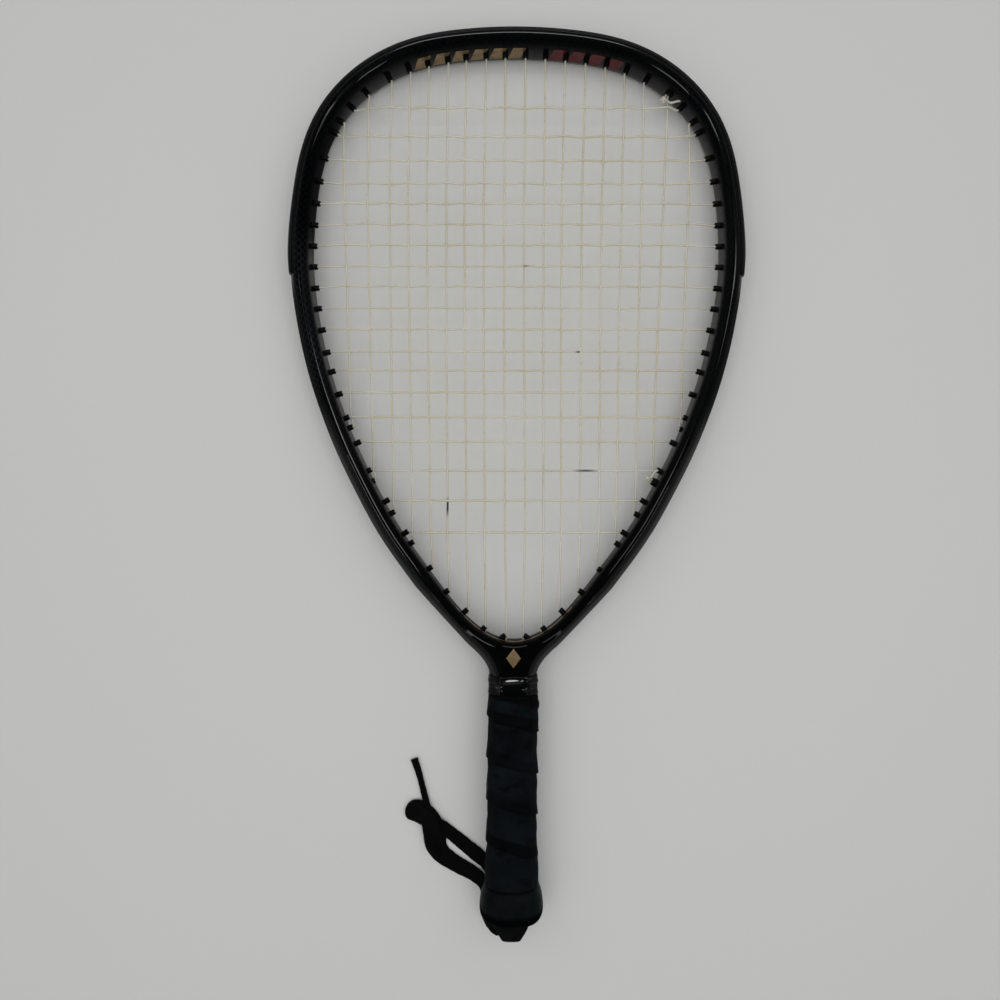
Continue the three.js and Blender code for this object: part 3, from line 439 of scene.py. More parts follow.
LOWER_STRAND = [
    [2.9, -275.1, 17.7, 5.6, 1.5], [2.85, -276.1, 17.7, 5.6, 1.5], [1.8, -277.5, 17.7, 5.6, 1.5], [-0.6, -277.9, 17.7, 5.6, 1.5],
    [-4, -277.4, 17.7, 5.4, 1.5], [-7.8, -276.8, 17.4, 4.6, 1.6], [-11.2, -276.2, 15.2, 3.8, 1.8],
    [-14.1, -275.6, 10.8, 3.4, 1.9], [-16.0, -274.4, 5.9, 3.5, 1.9], [-17.0, -271.6, 2.5, 3.8, 1.6], [-17.3, -267.2, 1.15, 3.8, 1.4],
    [-17.3, -262.5, 1.3, 3.9, 1.3], [-17.2, -258.0, 2.1, 5.0, 1.3], [-18.3, -253.9, 2.25, 7.0, 1.3], [-20.9, -250.6, 1.8, 8.8, 1.4],
    [-25.5, -247.6, 1.1, 9.6, 1.5], [-31.6, -244.4, 1.0, 10.2, 1.5], [-38.4, -240.4, 1.0, 11.0, 1.5], [-44.6, -235.8, 1.0, 12.0, 1.6], [-48.0, -230.4, 1.1, 13.6, 1.7],
    [-48.9, -224.4, 1.2, 14.4, 1.8]]
SHORT_END = [
    [-50.0, -217.6, 1.4, 13.0, 2.0], [-52.8, -211.8, 1.5, 12.0, 2.0], [-56.8, -208.8, 1.6, 11.6, 2.2],
    [-60.4, -207.6, 1.7, 10.6, 2.3], [-63.0, -207.0, 1.7, 9.4, 2.4]]


def strand(name, route, stand, with_cord, flat_from=0, cup=0.12):
    """Flat woven band along a route; it stands on edge at the post and lies flat further on."""
    r = np.array(route, float)
    sub = 10
    line = catmull(r, sub)
    place = np.linspace(0, len(r) - 1, len(line))
    t = tangents(line[:, :3])
    upright = np.clip(np.where(place < stand, 1, 1 - (place - stand + 1) / 4), 0, 1)
    flat = np.cross((0, 0, 1), t)
    bad = np.linalg.norm(flat, axis=1) < 0.3
    flat[bad] = (0, 1, 0)
    flat /= np.linalg.norm(flat, axis=1, keepdims=True)
    wide = flat * (1 - upright)[:, None] + np.array((0, 0, 1.0)) * upright[:, None]
    wide -= t * (wide * t).sum(1)[:, None]
    wide /= np.linalg.norm(wide, axis=1, keepdims=True)
    thin = np.cross(t, wide)
    thin *= np.where(thin[:, 2:] < 0, -1, 1) if stand < 1 else 1
    n = 28
    a = np.arange(n) / n * 2 * np.pi
    u = np.sign(np.cos(a)) * np.abs(np.cos(a)) ** 0.55
    v = np.sign(np.sin(a)) * np.abs(np.sin(a)) ** 0.75
    run = np.concatenate([[0], np.cumsum(np.linalg.norm(np.diff(line[:, :3], axis=0), axis=1))])
    pucker = 0.10 * np.sin(run * 1.15 + 0.6) + 0.08 * np.sin(run * 0.47 + 2.0)
    rings = np.empty((len(line), n, 3))
    for i in range(len(line)):
        w, h = line[i, 3] / 2, line[i, 4] / 2
        # two selvedges stand a little proud of the web, and the edges run slightly wavy
        rise = np.where(np.abs(u) > 0.72, 1.0, 0.86)
        off = np.outer(u * (w + pucker[i] * 0.6), wide[i]) + np.outer(v * rise * h + 0.10 * pucker[i] * np.sign(u), thin[i])
        rings[i] = line[i, :3] + off
    pts, faces = skin(rings)
    pts[:, 2] = np.maximum(pts[:, 2], 0.08)
    o = make(name, pts / 1000, faces, WEBBING, body="lanyard", slot="webbing", metres=True, sharp=60, attrs={"across": np.tile(u, len(line)), "along": np.repeat(run, n)})
    return o, line, run


def knob():
    """The short end doubled back under the knot: a soft rounded lump with fine ribs along it."""
    ax = np.array([-0.95, 0.31])  # from the knot outwards
    side = np.array([ax[1], -ax[0]])
    c0 = np.array([-56.4, -209.6])
    reach, blunt = 11.6, 5.6
    s_at = np.concatenate([[-1.2, 0.0], np.linspace(0.6, reach - blunt, 12), reach - blunt * (1 - np.sin(np.linspace(0.05, 1, 14) * np.pi / 2))])
    n = 120
    a = np.arange(n) / n * 2 * np.pi
    rings = []
    for s in s_at:
        k = max(0.0, (s - (reach - blunt)) / blunt)
        w = (7.5 - 1.1 * np.clip(s / reach, 0, 1)) * math.sqrt(max(0.004, 1 - k ** 2.4))
        h = 1.75 * math.sqrt(max(0.02, 1 - (k * 0.92) ** 2.6)) * (0.8 + 0.2 * np.clip(s / 3, 0, 1))
        cu = np.sign(np.cos(a)) * np.abs(np.cos(a)) ** 0.8
        cv = np.sign(np.sin(a)) * np.abs(np.sin(a)) ** 0.7
        rib = 0.17 * np.cos(cu * 23.0 + 0.5 * math.sin(s * 0.5)) * np.clip((1 - k) * 3, 0, 1)
        x = cu * w
        z = 1.85 + cv * (h + rib * np.where(np.sin(a) > 0, 1, 0.2))
        drift = 0.35 * math.sin(s * 0.45)
        q = c0 + np.outer(np.full(n, s), ax) + np.outer(x + drift, side)
        rings.append(np.stack([q[:, 0], q[:, 1], np.maximum(z, 0.08)], 1))
    rings = np.array(rings)
    pts, faces = skin(rings)
    b = Batch()
    b.add(pts / 1000, faces, across=np.tile(np.cos(a) * 2.0, len(s_at)), along=np.repeat(s_at, n))
    return b.make("lanyard_short_end_folds", WEBBING, body="lanyard", slot="webbing", metres=True, sharp=60)


def knot_wrap():
    """The turn of the strand that crosses over the knot and holds it."""
    return [
        [-44.8, -235.4, 1.4, 9.8, 1.6], [-47.9, -230.0, 2.1, 11.4, 1.7], [-49.4, -224.0, 2.9, 12.2, 1.8], [-50.7, -218.4, 4.3, 11.8, 1.8],
        [-52.2, -213.6, 5.5, 10.2, 1.8], [-54.4, -210.4, 5.4, 8.4, 1.8], [-56.8, -208.9, 4.1, 9.0, 1.8], [-59.0, -208.3, 3.0, 9.8, 1.8], [-60.6, -207.8, 2.4, 9.6, 1.6]]


tail_start = len(UPPER_STRAND)
lace_a, line_a, run_a = strand("lanyard_strand_a", UPPER_STRAND + TAIL, 5, True)
lace_b, line_b, run_b = strand("lanyard_strand_b", LOWER_STRAND + SHORT_END, 5, True)
wrap, _, _ = strand("lanyard_knot_wrap", knot_wrap(), 0, False)
folds = knob()
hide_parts("lanyard_strand_upper", "lanyard_tail")
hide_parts("lanyard_strand_lower")
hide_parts("lanyard_knot")
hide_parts("lanyard_short_end")


# --------------------------------------------------- the hoop and its holes
HOOP_COS = [147.16, 7.48, 27.03, -11.9, 2.71, -6.44, 1.45, -2.21, 1.51,
            -0.81, 0.89, -0.65, 0.34, -0.37, 0.28, -0.07, 0.12]
KS = np.arange(len(HOOP_COS))
AK = np.array(HOOP_COS)
BEAM, BEAM_SIDE = 10.8, 12.1


def beam(deg):
    """Radial thickness of the frame at a hoop angle: the sides are deeper than the head."""
    k = np.clip((np.abs(deg) - 50) / 28, 0, 1)
    return BEAM + (BEAM_SIDE - BEAM) * k * k * (3 - 2 * k)


def hoop(t):
    t = np.atleast_1d(np.asarray(t, float))
    ang = t[:, None] * KS
    r = (AK * np.cos(ang)).sum(1)
    dr = -(AK * KS * np.sin(ang)).sum(1)
    s, c = np.sin(t), np.cos(t)
    d = np.stack([c * r + s * dr, c * dr - s * r], 1)
    d /= np.linalg.norm(d, axis=1, keepdims=True)
    return np.stack([s * r, 110 + c * r], 1), np.stack([-d[:, 1], d[:, 0]], 1)


# The outer side of throat and neck, right half, from 168 degrees on.
NECK = np.array([[30.6, -85.3], [25.6, -90.0], [20.6, -95.0], [17.7, -98.6], [15.5, -102.4], [14.3, -106.2], [13.8, -109.6], [13.6, -113]])
a_out = np.arange(0, 162.01, 1.0)
p_out, n_out = hoop(np.radians(a_out))
head_right = p_out + n_out * beam(a_out)[:, None]
last = catmull(np.concatenate([head_right[-5:-4], head_right[-1:], NECK]), 12)[12:]
outer_right = np.concatenate([head_right[:-1], last])
outer_ang = np.concatenate([a_out[:-1], np.linspace(162, 168, 13)[:-1], np.linspace(168, 196, 12 * (len(NECK) - 1) + 1)])


def outer(at):
    """Outer edge and its outward normal at a place: the hoop angle, or on past it down the neck."""
    at = np.atleast_1d(np.asarray(at, float))
    a = np.abs(at)
    q = np.stack([np.interp(a, outer_ang, outer_right[:, k]) for k in (0, 1)], 1)
    e = 0.6
    f = np.stack([np.interp(a + e, outer_ang, outer_right[:, k]) for k in (0, 1)], 1) - \
        np.stack([np.interp(np.maximum(a - e, -0), outer_ang, outer_right[:, k]) for k in (0, 1)], 1)
    f /= np.linalg.norm(f, axis=1, keepdims=True)
    n = np.stack([-f[:, 1], f[:, 0]], 1)
    s = np.where(at < 0, -1.0, 1.0)
    return np.stack([q[:, 0] * s, q[:, 1]], 1), np.stack([n[:, 0] * s, n[:, 1]], 1)


MAINS = [(-99.55, -0.0374, 44.9), (-87.12, -0.0276, 11.9), (-75.15, -0.0186, -7.3), (-63.72, -0.0189, -25.7),
         (-52.4, -0.0182, -41.1), (-41.86, -0.0092, -55.5), (-30.31, -0.0119, -67.3), (-18.99, -0.0079, -77.8),
         (-6.34, -0.0075, -83.1), (5.99, -0.0081, -83.0), (17.4, -0.0039, -77.6), (28.37, -0.0031, -66.9),
         (40.09, 0.0009, -55.0), (51.84, 0.0038, -41.4), (62.47, 0.013, -25.3), (74.15, 0.0154, -7.2),
         (84.02, 0.0355, 13.6), (100.47, 0.03, 45.1)]
CROSS_Y = [242.8, 225.0, 210.2, 196.0, 183.7, 171.0, 158.1, 145.0, 132.6, 119.2, 106.0, 92.2, 80.6, 67.0, 51.7, 36.5, 18.7, 0.2, -19.5]
CROSS_TILT, CROSS_DROP = 0.0070, -0.28
THROAT_AXIS = (0.78, -0.626)
TIE = 0.9
BARREL_OUT, BARREL_SLANT = 3.7, 3.1
TOP_SHIFT = [0.9, 2.1, 1.85, 2.3, 2.2, 1.25, 1.5, 1.5, 0.6, 0.9, 0.6, 1.8, 1.5, 1.3, 0.2, 0.1, 0.0, -0.9]
TOP_Y = [234, 251, 260, 265, 268, 268, 268, 268, 268, 268, 268, 268, 268, 267, 265, 260, 251, 234]
BEND_Y = 185.0
MOUTH_SHIFT = [0.7, 0.7, 0.7, 0.7, 0.6, 0.7, 0.6, 0.4, 0.3, -0.6, -0.5, -0.5, -0.4, -0.5, -0.3, -0.4, 0, -0.6]
CROSS_END = [-1.4, 1.3, 0.8, 1.0, -0.3, -0.9, -0.9, -0.5, -1.1, -0.3, -0.2, -0.2, -0.3, -0.5, 0.2, 0.2, 0.8, 0.7, 0.9]


def main_x(i, y):
    """x of main i at a height: a fanned line that bows near both ends."""
    x0, fan, _ = MAINS[i]
    bend = TOP_SHIFT[i] / (TOP_Y[i] - BEND_Y)
    return x0 + fan * y + bend * np.maximum(0, y - BEND_Y) + 0.5 * np.clip((92 - y) / 80, 0, 1)


def cross_at(j, x):
    """y of cross j (from 0) at x."""
    return CROSS_Y[j] + CROSS_DROP + CROSS_TILT * x


holes = {}


def find_mouth(test, lo, hi, out):
    t = np.radians(np.arange(lo, hi, 0.02))
    p, n = hoop(t)
    m = p - n * out
    f = test(m, n)
    k = np.where(f[:-1] * f[1:] <= 0)[0][0]
    return t[k] + (t[k + 1] - t[k]) * f[k] / (f[k] - f[k + 1])


def add_hole(name, mouth, d, at, tie=False):
    mouth, d = np.asarray(mouth, float), np.asarray(d, float)
    if abs(at) < 158:
        q, _ = outer(at)
        length = float((q[0] - mouth) @ d)
    else:  # by the throat the outer edge leaves the hoop
        a = np.sign(at) * np.arange(150, 190, 0.02)
        q, _ = outer(a)
        k = q - mouth
        along = k @ d
        i = int(np.argmin(np.abs(k[:, 0] * d[1] - k[:, 1] * d[0]) + np.where(along > 0, 0, 1e3)))
        at, length = float(a[i]), float(along[i])
    holes[name] = {"name": name, "mouth": mouth, "d": d, "at": float(at), "length": length, "tie": tie}


def square_hole(name, t, out, tie=False):
    p, n = hoop(t)
    add_hole(name, p[0] - n[0] * out, n[0], math.degrees(t), tie)


for i, (x0, fan, y) in enumerate(MAINS):
    out, shift = (2.3 if i == 16 else BARREL_SLANT if i < 2 or i > 15 else BARREL_OUT), (-TIE if i == 16 else 0)
    test = lambda mo, n, i=i, shift=shift: mo[:, 0] - n[:, 1] * shift - main_x(i, mo[:, 1] + n[:, 0] * shift)
    square_hole(f"M{i + 1}T", find_mouth(test, -52, 52, out), out, i == 16)
for i, (x0, fan, y) in enumerate(MAINS):
    side, shift = (-1 if i < 9 else 1), (TIE if i == 16 else 0)
    p = np.array([float(main_x(i, y)) + MOUTH_SHIFT[i], y])
    if i in (8, 9):
        add_hole(f"M{i + 1}B", p, (side * THROAT_AXIS[0], THROAT_AXIS[1]), side * 175)
        continue
    ts = np.radians(side * np.arange(100, 179, 0.02))
    w, n = hoop(ts)
    k = int(np.argmin(np.linalg.norm(w - p, axis=1)))
    add_hole(f"M{i + 1}B", p + np.array([n[k][1], -n[k][0]]) * shift, n[k], math.degrees(ts[k]), i == 16)


def main_end(i, top):
    h = holes[f"M{i + 1}{'T' if top else 'B'}"]
    s = (-TIE if top else TIE) if i == 16 else 0
    return h["mouth"] + np.array([-h["d"][1], h["d"][0]]) * s


def main_line(i):
    """Corners of main i, from its top to its bottom."""
    a, b = main_end(i, True), main_end(i, False)
    mid = [np.array([float(main_x(i, y)), y]) for y in (BEND_Y, 92.0, 12.0) if b[1] + 4 < y < a[1] - 4]
    return [a] + mid + [b]


LINES = [main_line(i) for i in range(18)]


def to_main(q):
    best = 1e9
    for line in LINES:
        for a, b in zip(line[:-1], line[1:]):
            l = b - a
            k = min(1, max(0, float(np.dot(q - a, l) / np.dot(l, l))))
            best = min(best, float(np.linalg.norm(q - a - l * k)))
    return best


for j, y in enumerate(CROSS_Y):
    for side, lo, hi in (("L", -165, -25), ("R", 25, 165)):
        out = BARREL_OUT
        while out > 0.3:
            t = find_mouth(lambda mo, n, j=j: mo[:, 1] - cross_at(j, mo[:, 0]) - CROSS_END[j], lo, hi, out)
            p, n = hoop(t)
            mo, n = p[0] - n[0] * out, n[0]
            edge_pts = [mo + np.array([-n[1], n[0]]) * k * 1.85 for k in (1, -1)]
            if out > 0.6 and (to_main(mo) < 1.75 or min(map(to_main, edge_pts)) < 0.9):
                out -= 0.2
                continue
            square_hole(f"C{j + 1}{side}", t, out)
            break

# ---------------------------------------------------------------- frame
def away_from(curve):
    """Distance of 2-D points from a polyline."""
    a, b = curve[:-1], curve[1:]
    ab = b - a
    ll = np.maximum((ab * ab).sum(1), 1e-12)

    def d(q):
        q = np.asarray(q, float)
        k = np.clip(((q[:, None] - a) * ab).sum(2) / ll, 0, 1)
        return np.linalg.norm(q[:, None] - (a + ab * k[..., None]), axis=2).min(1)
    return d


FRAME_END = -113.0
bottom = np.array([[x, FRAME_END] for x in (12.0, 9.0, 6.0, 3.0, 0.0)])
right_side = np.concatenate([outer_right, bottom])
side_len = np.concatenate([[0], np.cumsum(np.linalg.norm(np.diff(right_side, axis=0), axis=1))])
fine_t = np.radians(np.arange(0, 180.01, 0.5))
inner_line = hoop(fine_t)[0]
inner_line = np.concatenate([inner_line, inner_line[::-1][1:] * (-1, 1)])
outer_line = np.concatenate([outer_right, [[outer_right[-1][0], -140]]])
outer_line = np.concatenate([outer_line, (outer_line * (-1, 1))[::-1]])
IN_D = [0.0, 0.18, 0.55, 1.15, 2.0, 3.0, 4.1, 4.8]
IN_Z = [5.0, 7.2, 8.5, 9.4, 10.1, 10.65, 11.12, 11.3]
OUT_D = [0.0, 0.08, 0.3, 0.7, 1.2, 1.9, 2.7, 3.6, 4.6]
OUT_Z = [3.2, 4.2, 5.4, 6.7, 7.9, 9.2, 10.2, 10.9, 11.3]
# past the bumper guard the outer side is a wide bevel
BEVEL_D = [0.0, 0.1, 0.4, 0.9, 1.6, 2.5, 3.6, 4.8, 5.7]
BEVEL_Z = [3.2, 4.3, 5.4, 6.4, 7.5, 8.65, 9.7, 10.6, 11.05]
PAIR_FROM = 150.0
t_pair = np.concatenate([np.arange(0, 150, 1.5), np.arange(150, 180.01, 0.5)])


def outer_of(deg):
    """Where a section that starts on the inner wall at this angle ends on the outer side."""
    i0 = np.interp(PAIR_FROM, outer_ang[: len(outer_right)], side_len[: len(outer_right)])
    w = hoop(np.radians(np.arange(PAIR_FROM, 180.01, 0.5)))[0]
    wl = np.concatenate([[0], np.cumsum(np.linalg.norm(np.diff(w, axis=0), axis=1))])
    k = np.interp(deg, np.arange(PAIR_FROM, 180.01, 0.5), wl / wl[-1])
    # the outer side lags behind at first and then runs down the neck
    k = k + 0.0 * k
    s = i0 + (side_len[-1] - i0) * (0.62 * k + 0.38 * k ** 2.2)
    return np.array([np.interp(s, side_len, right_side[:, 0]), np.interp(s, side_len, right_side[:, 1])]), s


strip_end_len = float(np.interp(178.0, outer_ang, side_len[: len(outer_right)]))
rows_r, groove_r = [], []
out_dist = away_from(np.concatenate([right_side[100:-5], [[right_side[-6][0], -140]]]))
for deg in t_pair:
    p, n = hoop(math.radians(deg))
    p, n = p[0], n[0]
    to_bevel = float(np.clip((deg - 78.5) / 9, 0, 1))
    to_bevel = to_bevel * to_bevel * (3 - 2 * to_bevel)
    out_d = [a + (b - a) * to_bevel for a, b in zip(OUT_D, BEVEL_D)]
    z_out = [a + (b - a) * to_bevel for a, b in zip(OUT_Z, BEVEL_Z)]
    if deg <= PAIR_FROM:
        o, s_at = p + n * beam(deg), float(np.interp(deg, outer_ang, side_len[: len(outer_right)]))
        q_in = [p + n * d for d in IN_D]
        q_out = [o - n * d for d in out_d]
    else:
        o, s_at = outer_of(deg)
        d = (o - p) / np.linalg.norm(o - p)
        f = np.linspace(0, 1, 240)
        ray = p + (o - p) * f[:, None]
        di = np.linalg.norm(ray - p, axis=1) * max(0.35, float(d @ n))
        do = out_dist(ray)
        do = np.minimum.accumulate(do)
        q_in = [p + (o - p) * np.interp(v, di, f) for v in IN_D]
        q_out = [p + (o - p) * float(np.interp(-v, -do, f)) for v in out_d]
    mid = [q_in[-1] + (q_out[-1] - q_in[-1]) * g for g in (0.33, 0.67)]
    top = list(zip(q_in, IN_Z)) + [(mid[0], 11.36), (mid[1], 11.36)] + list(zip(q_out, z_out))[::-1]
    fade = float(np.clip((strip_end_len - s_at) / 1.2, 0, 1))
    dn = n if deg <= PAIR_FROM else None
    if dn is None:
        e = 0.4
        a1 = np.array([np.interp(s_at - e, side_len, right_side[:, 0]), np.interp(s_at - e, side_len, right_side[:, 1])])
        a2 = np.array([np.interp(min(s_at + e, side_len[-1]), side_len, right_side[:, 0]), np.interp(min(s_at + e, side_len[-1]), side_len, right_side[:, 1])])
        w = a2 - a1
        w /= np.linalg.norm(w)
        dn = np.array([-w[1], w[0]])
    deep = 3.6 * fade
    half = [(*q, z) for q, z in top]
    half += [(*(o - dn * g * deep), z) for g, z in ((0.0, 3.0), (0.5, 2.98), (1.0, 2.96))]
    rows_r.append(half)

rows_r = np.array(rows_r)  # right half, upper part, from head (0) to throat (180)
cols_top = rows_r.shape[1]
lower = rows_r[:, ::-1].copy()
lower[..., 2] = np.maximum(-lower[..., 2], -11.29)  # flat where it lies on the floor
wall_z = [-3.0, 0.0, 3.0]
wall = np.array([[(*hoop(math.radians(d))[0][0], z) for z in wall_z] for d in t_pair])
right_rows = np.concatenate([rows_r, lower, wall], 1)
left_rows = right_rows[1:-1][::-1].copy()
left_rows[..., 0] *= -1
rings = np.concatenate([right_rows, left_rows])
pts, faces = skin(rings, along=True)
nc = rings.shape[1]
wall_mark = np.zeros(nc)
wall_mark[:4] = (1, 0.9, 0.6, 0.2)
wall_mark[2 * cols_top - 4:2 * cols_top] = (0.2, 0.6, 0.9, 1)
wall_mark[2 * cols_top:] = 1
# how much lacquer there is: little on the upper part of the inner wall at the head
ring_deg = np.concatenate([t_pair, t_pair[1:-1][::-1]])
inner_col = np.zeros(nc, bool)
inner_col[:len(IN_D)] = True
inner_col[2 * cols_top - len(IN_D):] = True
HEAD_GLEAM = ([-11.3, -8, -3, 3, 7.2, 8.5, 9.4, 10.1, 10.65, 11.12, 11.3], [1.6, 1.45, 0.8, 0.42, 0.26, 0.2, 0.16, 0.2, 0.7, 1.0, 1.0])
SIDE_GLEAM = ([-11.0, -3, 3, 7.2, 8.5, 9.4, 10.1, 10.65, 11.12, 11.3], [0.85, 0.78, 0.7, 0.58, 0.46, 0.36, 0.34, 0.6, 0.8, 0.8])
gleam = np.ones(rings.shape[:2])
left_ring = np.arange(len(ring_deg)) >= len(t_pair)
for i, deg in enumerate(ring_deg):
    k = float(np.clip((deg - 46) / 26, 0, 1))
    k = k * k * (3 - 2 * k)
    low = 1 - 0.55 * float(np.clip((deg - 125) / 45, 0, 1))
    z = rings[i, :, 2]
    g = (1 - k) * np.interp(z, *HEAD_GLEAM) + k * np.interp(z, *SIDE_GLEAM) * low
    # the bevel past the guard is duller
    dull = 1 - 0.62 * float(np.clip((deg - 76) / 8, 0, 1)) * float(np.clip((128 - deg) / 14, 0, 1))
    # rubbed dull on the upper left shoulder
    g = g * (np.interp(deg, [38, 44, 66, 76], [1, 0.2, 0.2, 1]) if left_ring[i] else 1.0)
    gleam[i] = np.where(inner_col, g, np.interp(np.abs(z), [3.2, 6.5, 8.6, 10.0], [0.3, 0.42, 0.66, 0.9]) * dull)
cloth = np.interp(ring_deg, [0, 124, 142], [0.22, 0.22, 0.0])
cloth = np.where(left_ring, np.maximum(cloth, np.interp(ring_deg, [58, 76, 104, 122], [0, 0.85, 0.85, 0])), cloth)
run_s = np.concatenate([[0], np.cumsum(np.linalg.norm(np.diff(rings[:, 10, :2], axis=0), axis=1))])
sect = np.concatenate([[0], np.cumsum(np.linalg.norm(np.diff(rings[20], axis=0), axis=1))])
frame_hoop = make("frame_hoop", pts, faces, GRAPHITE, slot="graphite", sharp=50,
                  attrs={"wall": np.tile(wall_mark, len(rings)), "run": np.repeat(run_s, nc), "side": np.tile(sect, len(rings)), "gleam": gleam.reshape(-1), "cloth": np.repeat(cloth, nc)})


def octagon(w, h, c, y):
    return [(w, y, h - c), (w - c, y, h), (c - w, y, h), (-w, y, h - c), (-w, y, c - h), (c - w, y, -h), (w - c, y, -h), (w, y, c - h)]


def round_oct(w, h, c, y, n=64, r=2.2):
    """Octagon with rounded corners, as n points at equal turns."""
    a = (np.arange(n) + 0.5) / n * 2 * np.pi
    o = np.array([(p[0], p[2]) for p in octagon(w, h, c, 0)])
    o = o[np.argsort(np.arctan2(o[:, 1], o[:, 0]))]
    o = np.concatenate([o, o[:1]])
    fine = np.linspace(0, 2 * np.pi, 721)[:-1]
    rad = np.full(720, 1e9)
    for p, q in zip(o[:-1], o[1:]):
        e = q - p
        nn = np.array([e[1], -e[0]]) / np.linalg.norm(e)
        dist = p @ nn
        cosx = np.cos(fine) * nn[0] + np.sin(fine) * nn[1]
        rad = np.minimum(rad, np.where(cosx > 1e-3, dist / np.maximum(cosx, 1e-3), 1e9))
    k = max(1, int(round(r / (0.5 * (w + h)) * 720 / (2 * np.pi))))
    ker = np.hanning(2 * k + 3)[1:-1]
    ker /= ker.sum()
    sm = np.convolve(np.concatenate([rad[-k:], rad, rad[:k]]), ker, "valid")
    rr = np.interp(a, fine, sm, period=2 * np.pi)
    return np.stack([np.cos(a) * rr, np.full(n, y), np.sin(a) * rr], 1), a


shaft_rows = []
for y, w, h, c in ((-104.0, 12.4, 9.8, 3.6), (-106, 13.0, 10.4, 3.8), (-112, 13.2, 10.5, 3.8), (-117.0, 13.2, 10.5, 3.8), (-117.4, 12.9, 10.2, 3.6), (-117.6, 11.5, 8.2, 3), (-246, 11.5, 8.2, 3)):
    shaft_rows.append(round_oct(w, h, c, y, 48, 1.2)[0])
pts, faces = skin(np.array(shaft_rows))
frame_shaft = make("frame_shaft", pts, faces, GRAPHITE, slot="graphite", sharp=40, attrs={"wall": np.zeros(len(pts)), "run": np.zeros(len(pts)), "side": np.zeros(len(pts)), "gleam": np.ones(len(pts)), "cloth": np.zeros(len(pts))})
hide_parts("frame")
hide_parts("frame")

# ------------------------------------------------ bumper guard, grommet strips
def edge_sweep(section, stops, taper=None):
    """Sweeps a closed (v, z) section along the outer edge through these places."""
    q, n = outer(stops)
    rows = []
    for i in range(len(stops)):
        k = 1.0 if taper is None else taper[i]
        rows.append([(*(q[i] + n[i] * v), z * k) for v, z in section])
    return skin(np.array(rows))


def smooth_section(half, sub=3):
    """Closed section from its upper half, listed from the outside inwards, mirrored in z."""
    h = catmull(np.array(half), sub)
    low = h[::-1].copy()
    low[:, 1] *= -1
    return [tuple(p) for p in h] + [tuple(p) for p in low]


BUMPER_ENDS = (-77.6, 77.2)
# Upper half from the outer face, over the ribs and the inner lip, and back along the frame.
BUMPER_HALF = [(0.9, 0.0), (0.92, 1.2), (1.35, 1.9), (1.5, 3.0), (1.48, 4.4), (1.22, 5.3), (0.85, 5.75), (0.9, 6.3), (0.82, 7.1), (0.42, 8.1), (0.05, 8.55),
               (-0.12, 8.8), (-0.2, 9.3), (-0.6, 9.85), (-1.15, 10.3), (-1.45, 10.35), (-1.7, 10.6), (-2.3, 10.95), (-2.9, 11.1), (-3.4, 11.15), (-3.5, 10.95), (-3.1, 10.65), (-2.5, 10.25), (-1.8, 9.65), (-0.9, 8.2), (-0.3, 6.75),
               (0.05, 5.2), (0.2, 3.6), (0.2, 2.75), (-1.0, 2.7), (-3.2, 2.7), (-3.4, 1.6), (-3.4, 0.0)]
stops = np.concatenate([[BUMPER_ENDS[0], BUMPER_ENDS[0] + 0.25], np.arange(-76.8, 76.6, 0.8), [BUMPER_ENDS[1] - 0.25, BUMPER_ENDS[1]]])
sec = smooth_section(BUMPER_HALF, 2)
pts, faces = edge_sweep(sec, stops)
# the guard gets thinner towards its ends
q_edge, n_edge = outer(stops)
grid = pts.reshape(len(stops), len(sec), 3)
for i, at in enumerate(stops):
    k = float(np.clip(min(at - BUMPER_ENDS[0], BUMPER_ENDS[1] - at) / 6.5, 0, 1))
    k = 0.1 + 0.9 * (1 - (1 - k) ** 2)
    v = (grid[i, :, :2] - q_edge[i]) @ n_edge[i]
    grid[i, :, :2] -= n_edge[i] * (np.maximum(v - 0.08, 0) * (1 - k))[:, None]
# the ends are rounded off
q0 = pts.reshape(len(stops), len(sec), 3)
for k, s in ((0, 0.985), (-1, 0.985)):
    q0[k, :, 2] *= s
bumper = make("bumper_shell", q0.reshape(-1, 3), faces, NYLON, slot="guard_nylon", sharp=55)

STRIP_SEC = [(-3.5, -2.9), (-0.35, -2.9), (-0.15, -2.75), (-0.15, -2.1), (-0.35, -1.95), (-2.3, -1.95), (-2.3, 1.95), (-0.35, 1.95), (-0.15, 2.1), (-0.15, 2.75), (-0.35, 2.9), (-3.5, 2.9)]
STRIP_END = 179.2


def barrel(h, deep):
    """Grommet barrel: a turned cup with a rounded lip and an open bore."""
    r, b = (2.5, 1.9) if h["tie"] else (1.76, 0.95)
    prof = [(deep, 0.0), (deep, r), (2.2, r), (0.5, r - 0.03), (0.22, r - 0.1), (0.05, r - 0.27), (0.0, r - 0.5), (0.06, b + 0.28), (0.3, b + 0.08), (0.8, b), (3.2, b * 0.96), (3.2, 0.0)]
    n = 20
    a = np.arange(n) / n * 2 * np.pi
    d = np.array([*h["d"], 0.0])
    side = np.array([-d[1], d[0], 0.0])
    rings = []
    for s, rr in prof[1:-1]:
        c = np.array([*h["mouth"], 0.0]) + d * s
        rings.append(c + rr * (np.cos(a)[:, None] * side + np.sin(a)[:, None] * np.array((0, 0, 1.0))))
    return skin(np.array(rings))


def tab_along(h, a0):
    return h["at"]


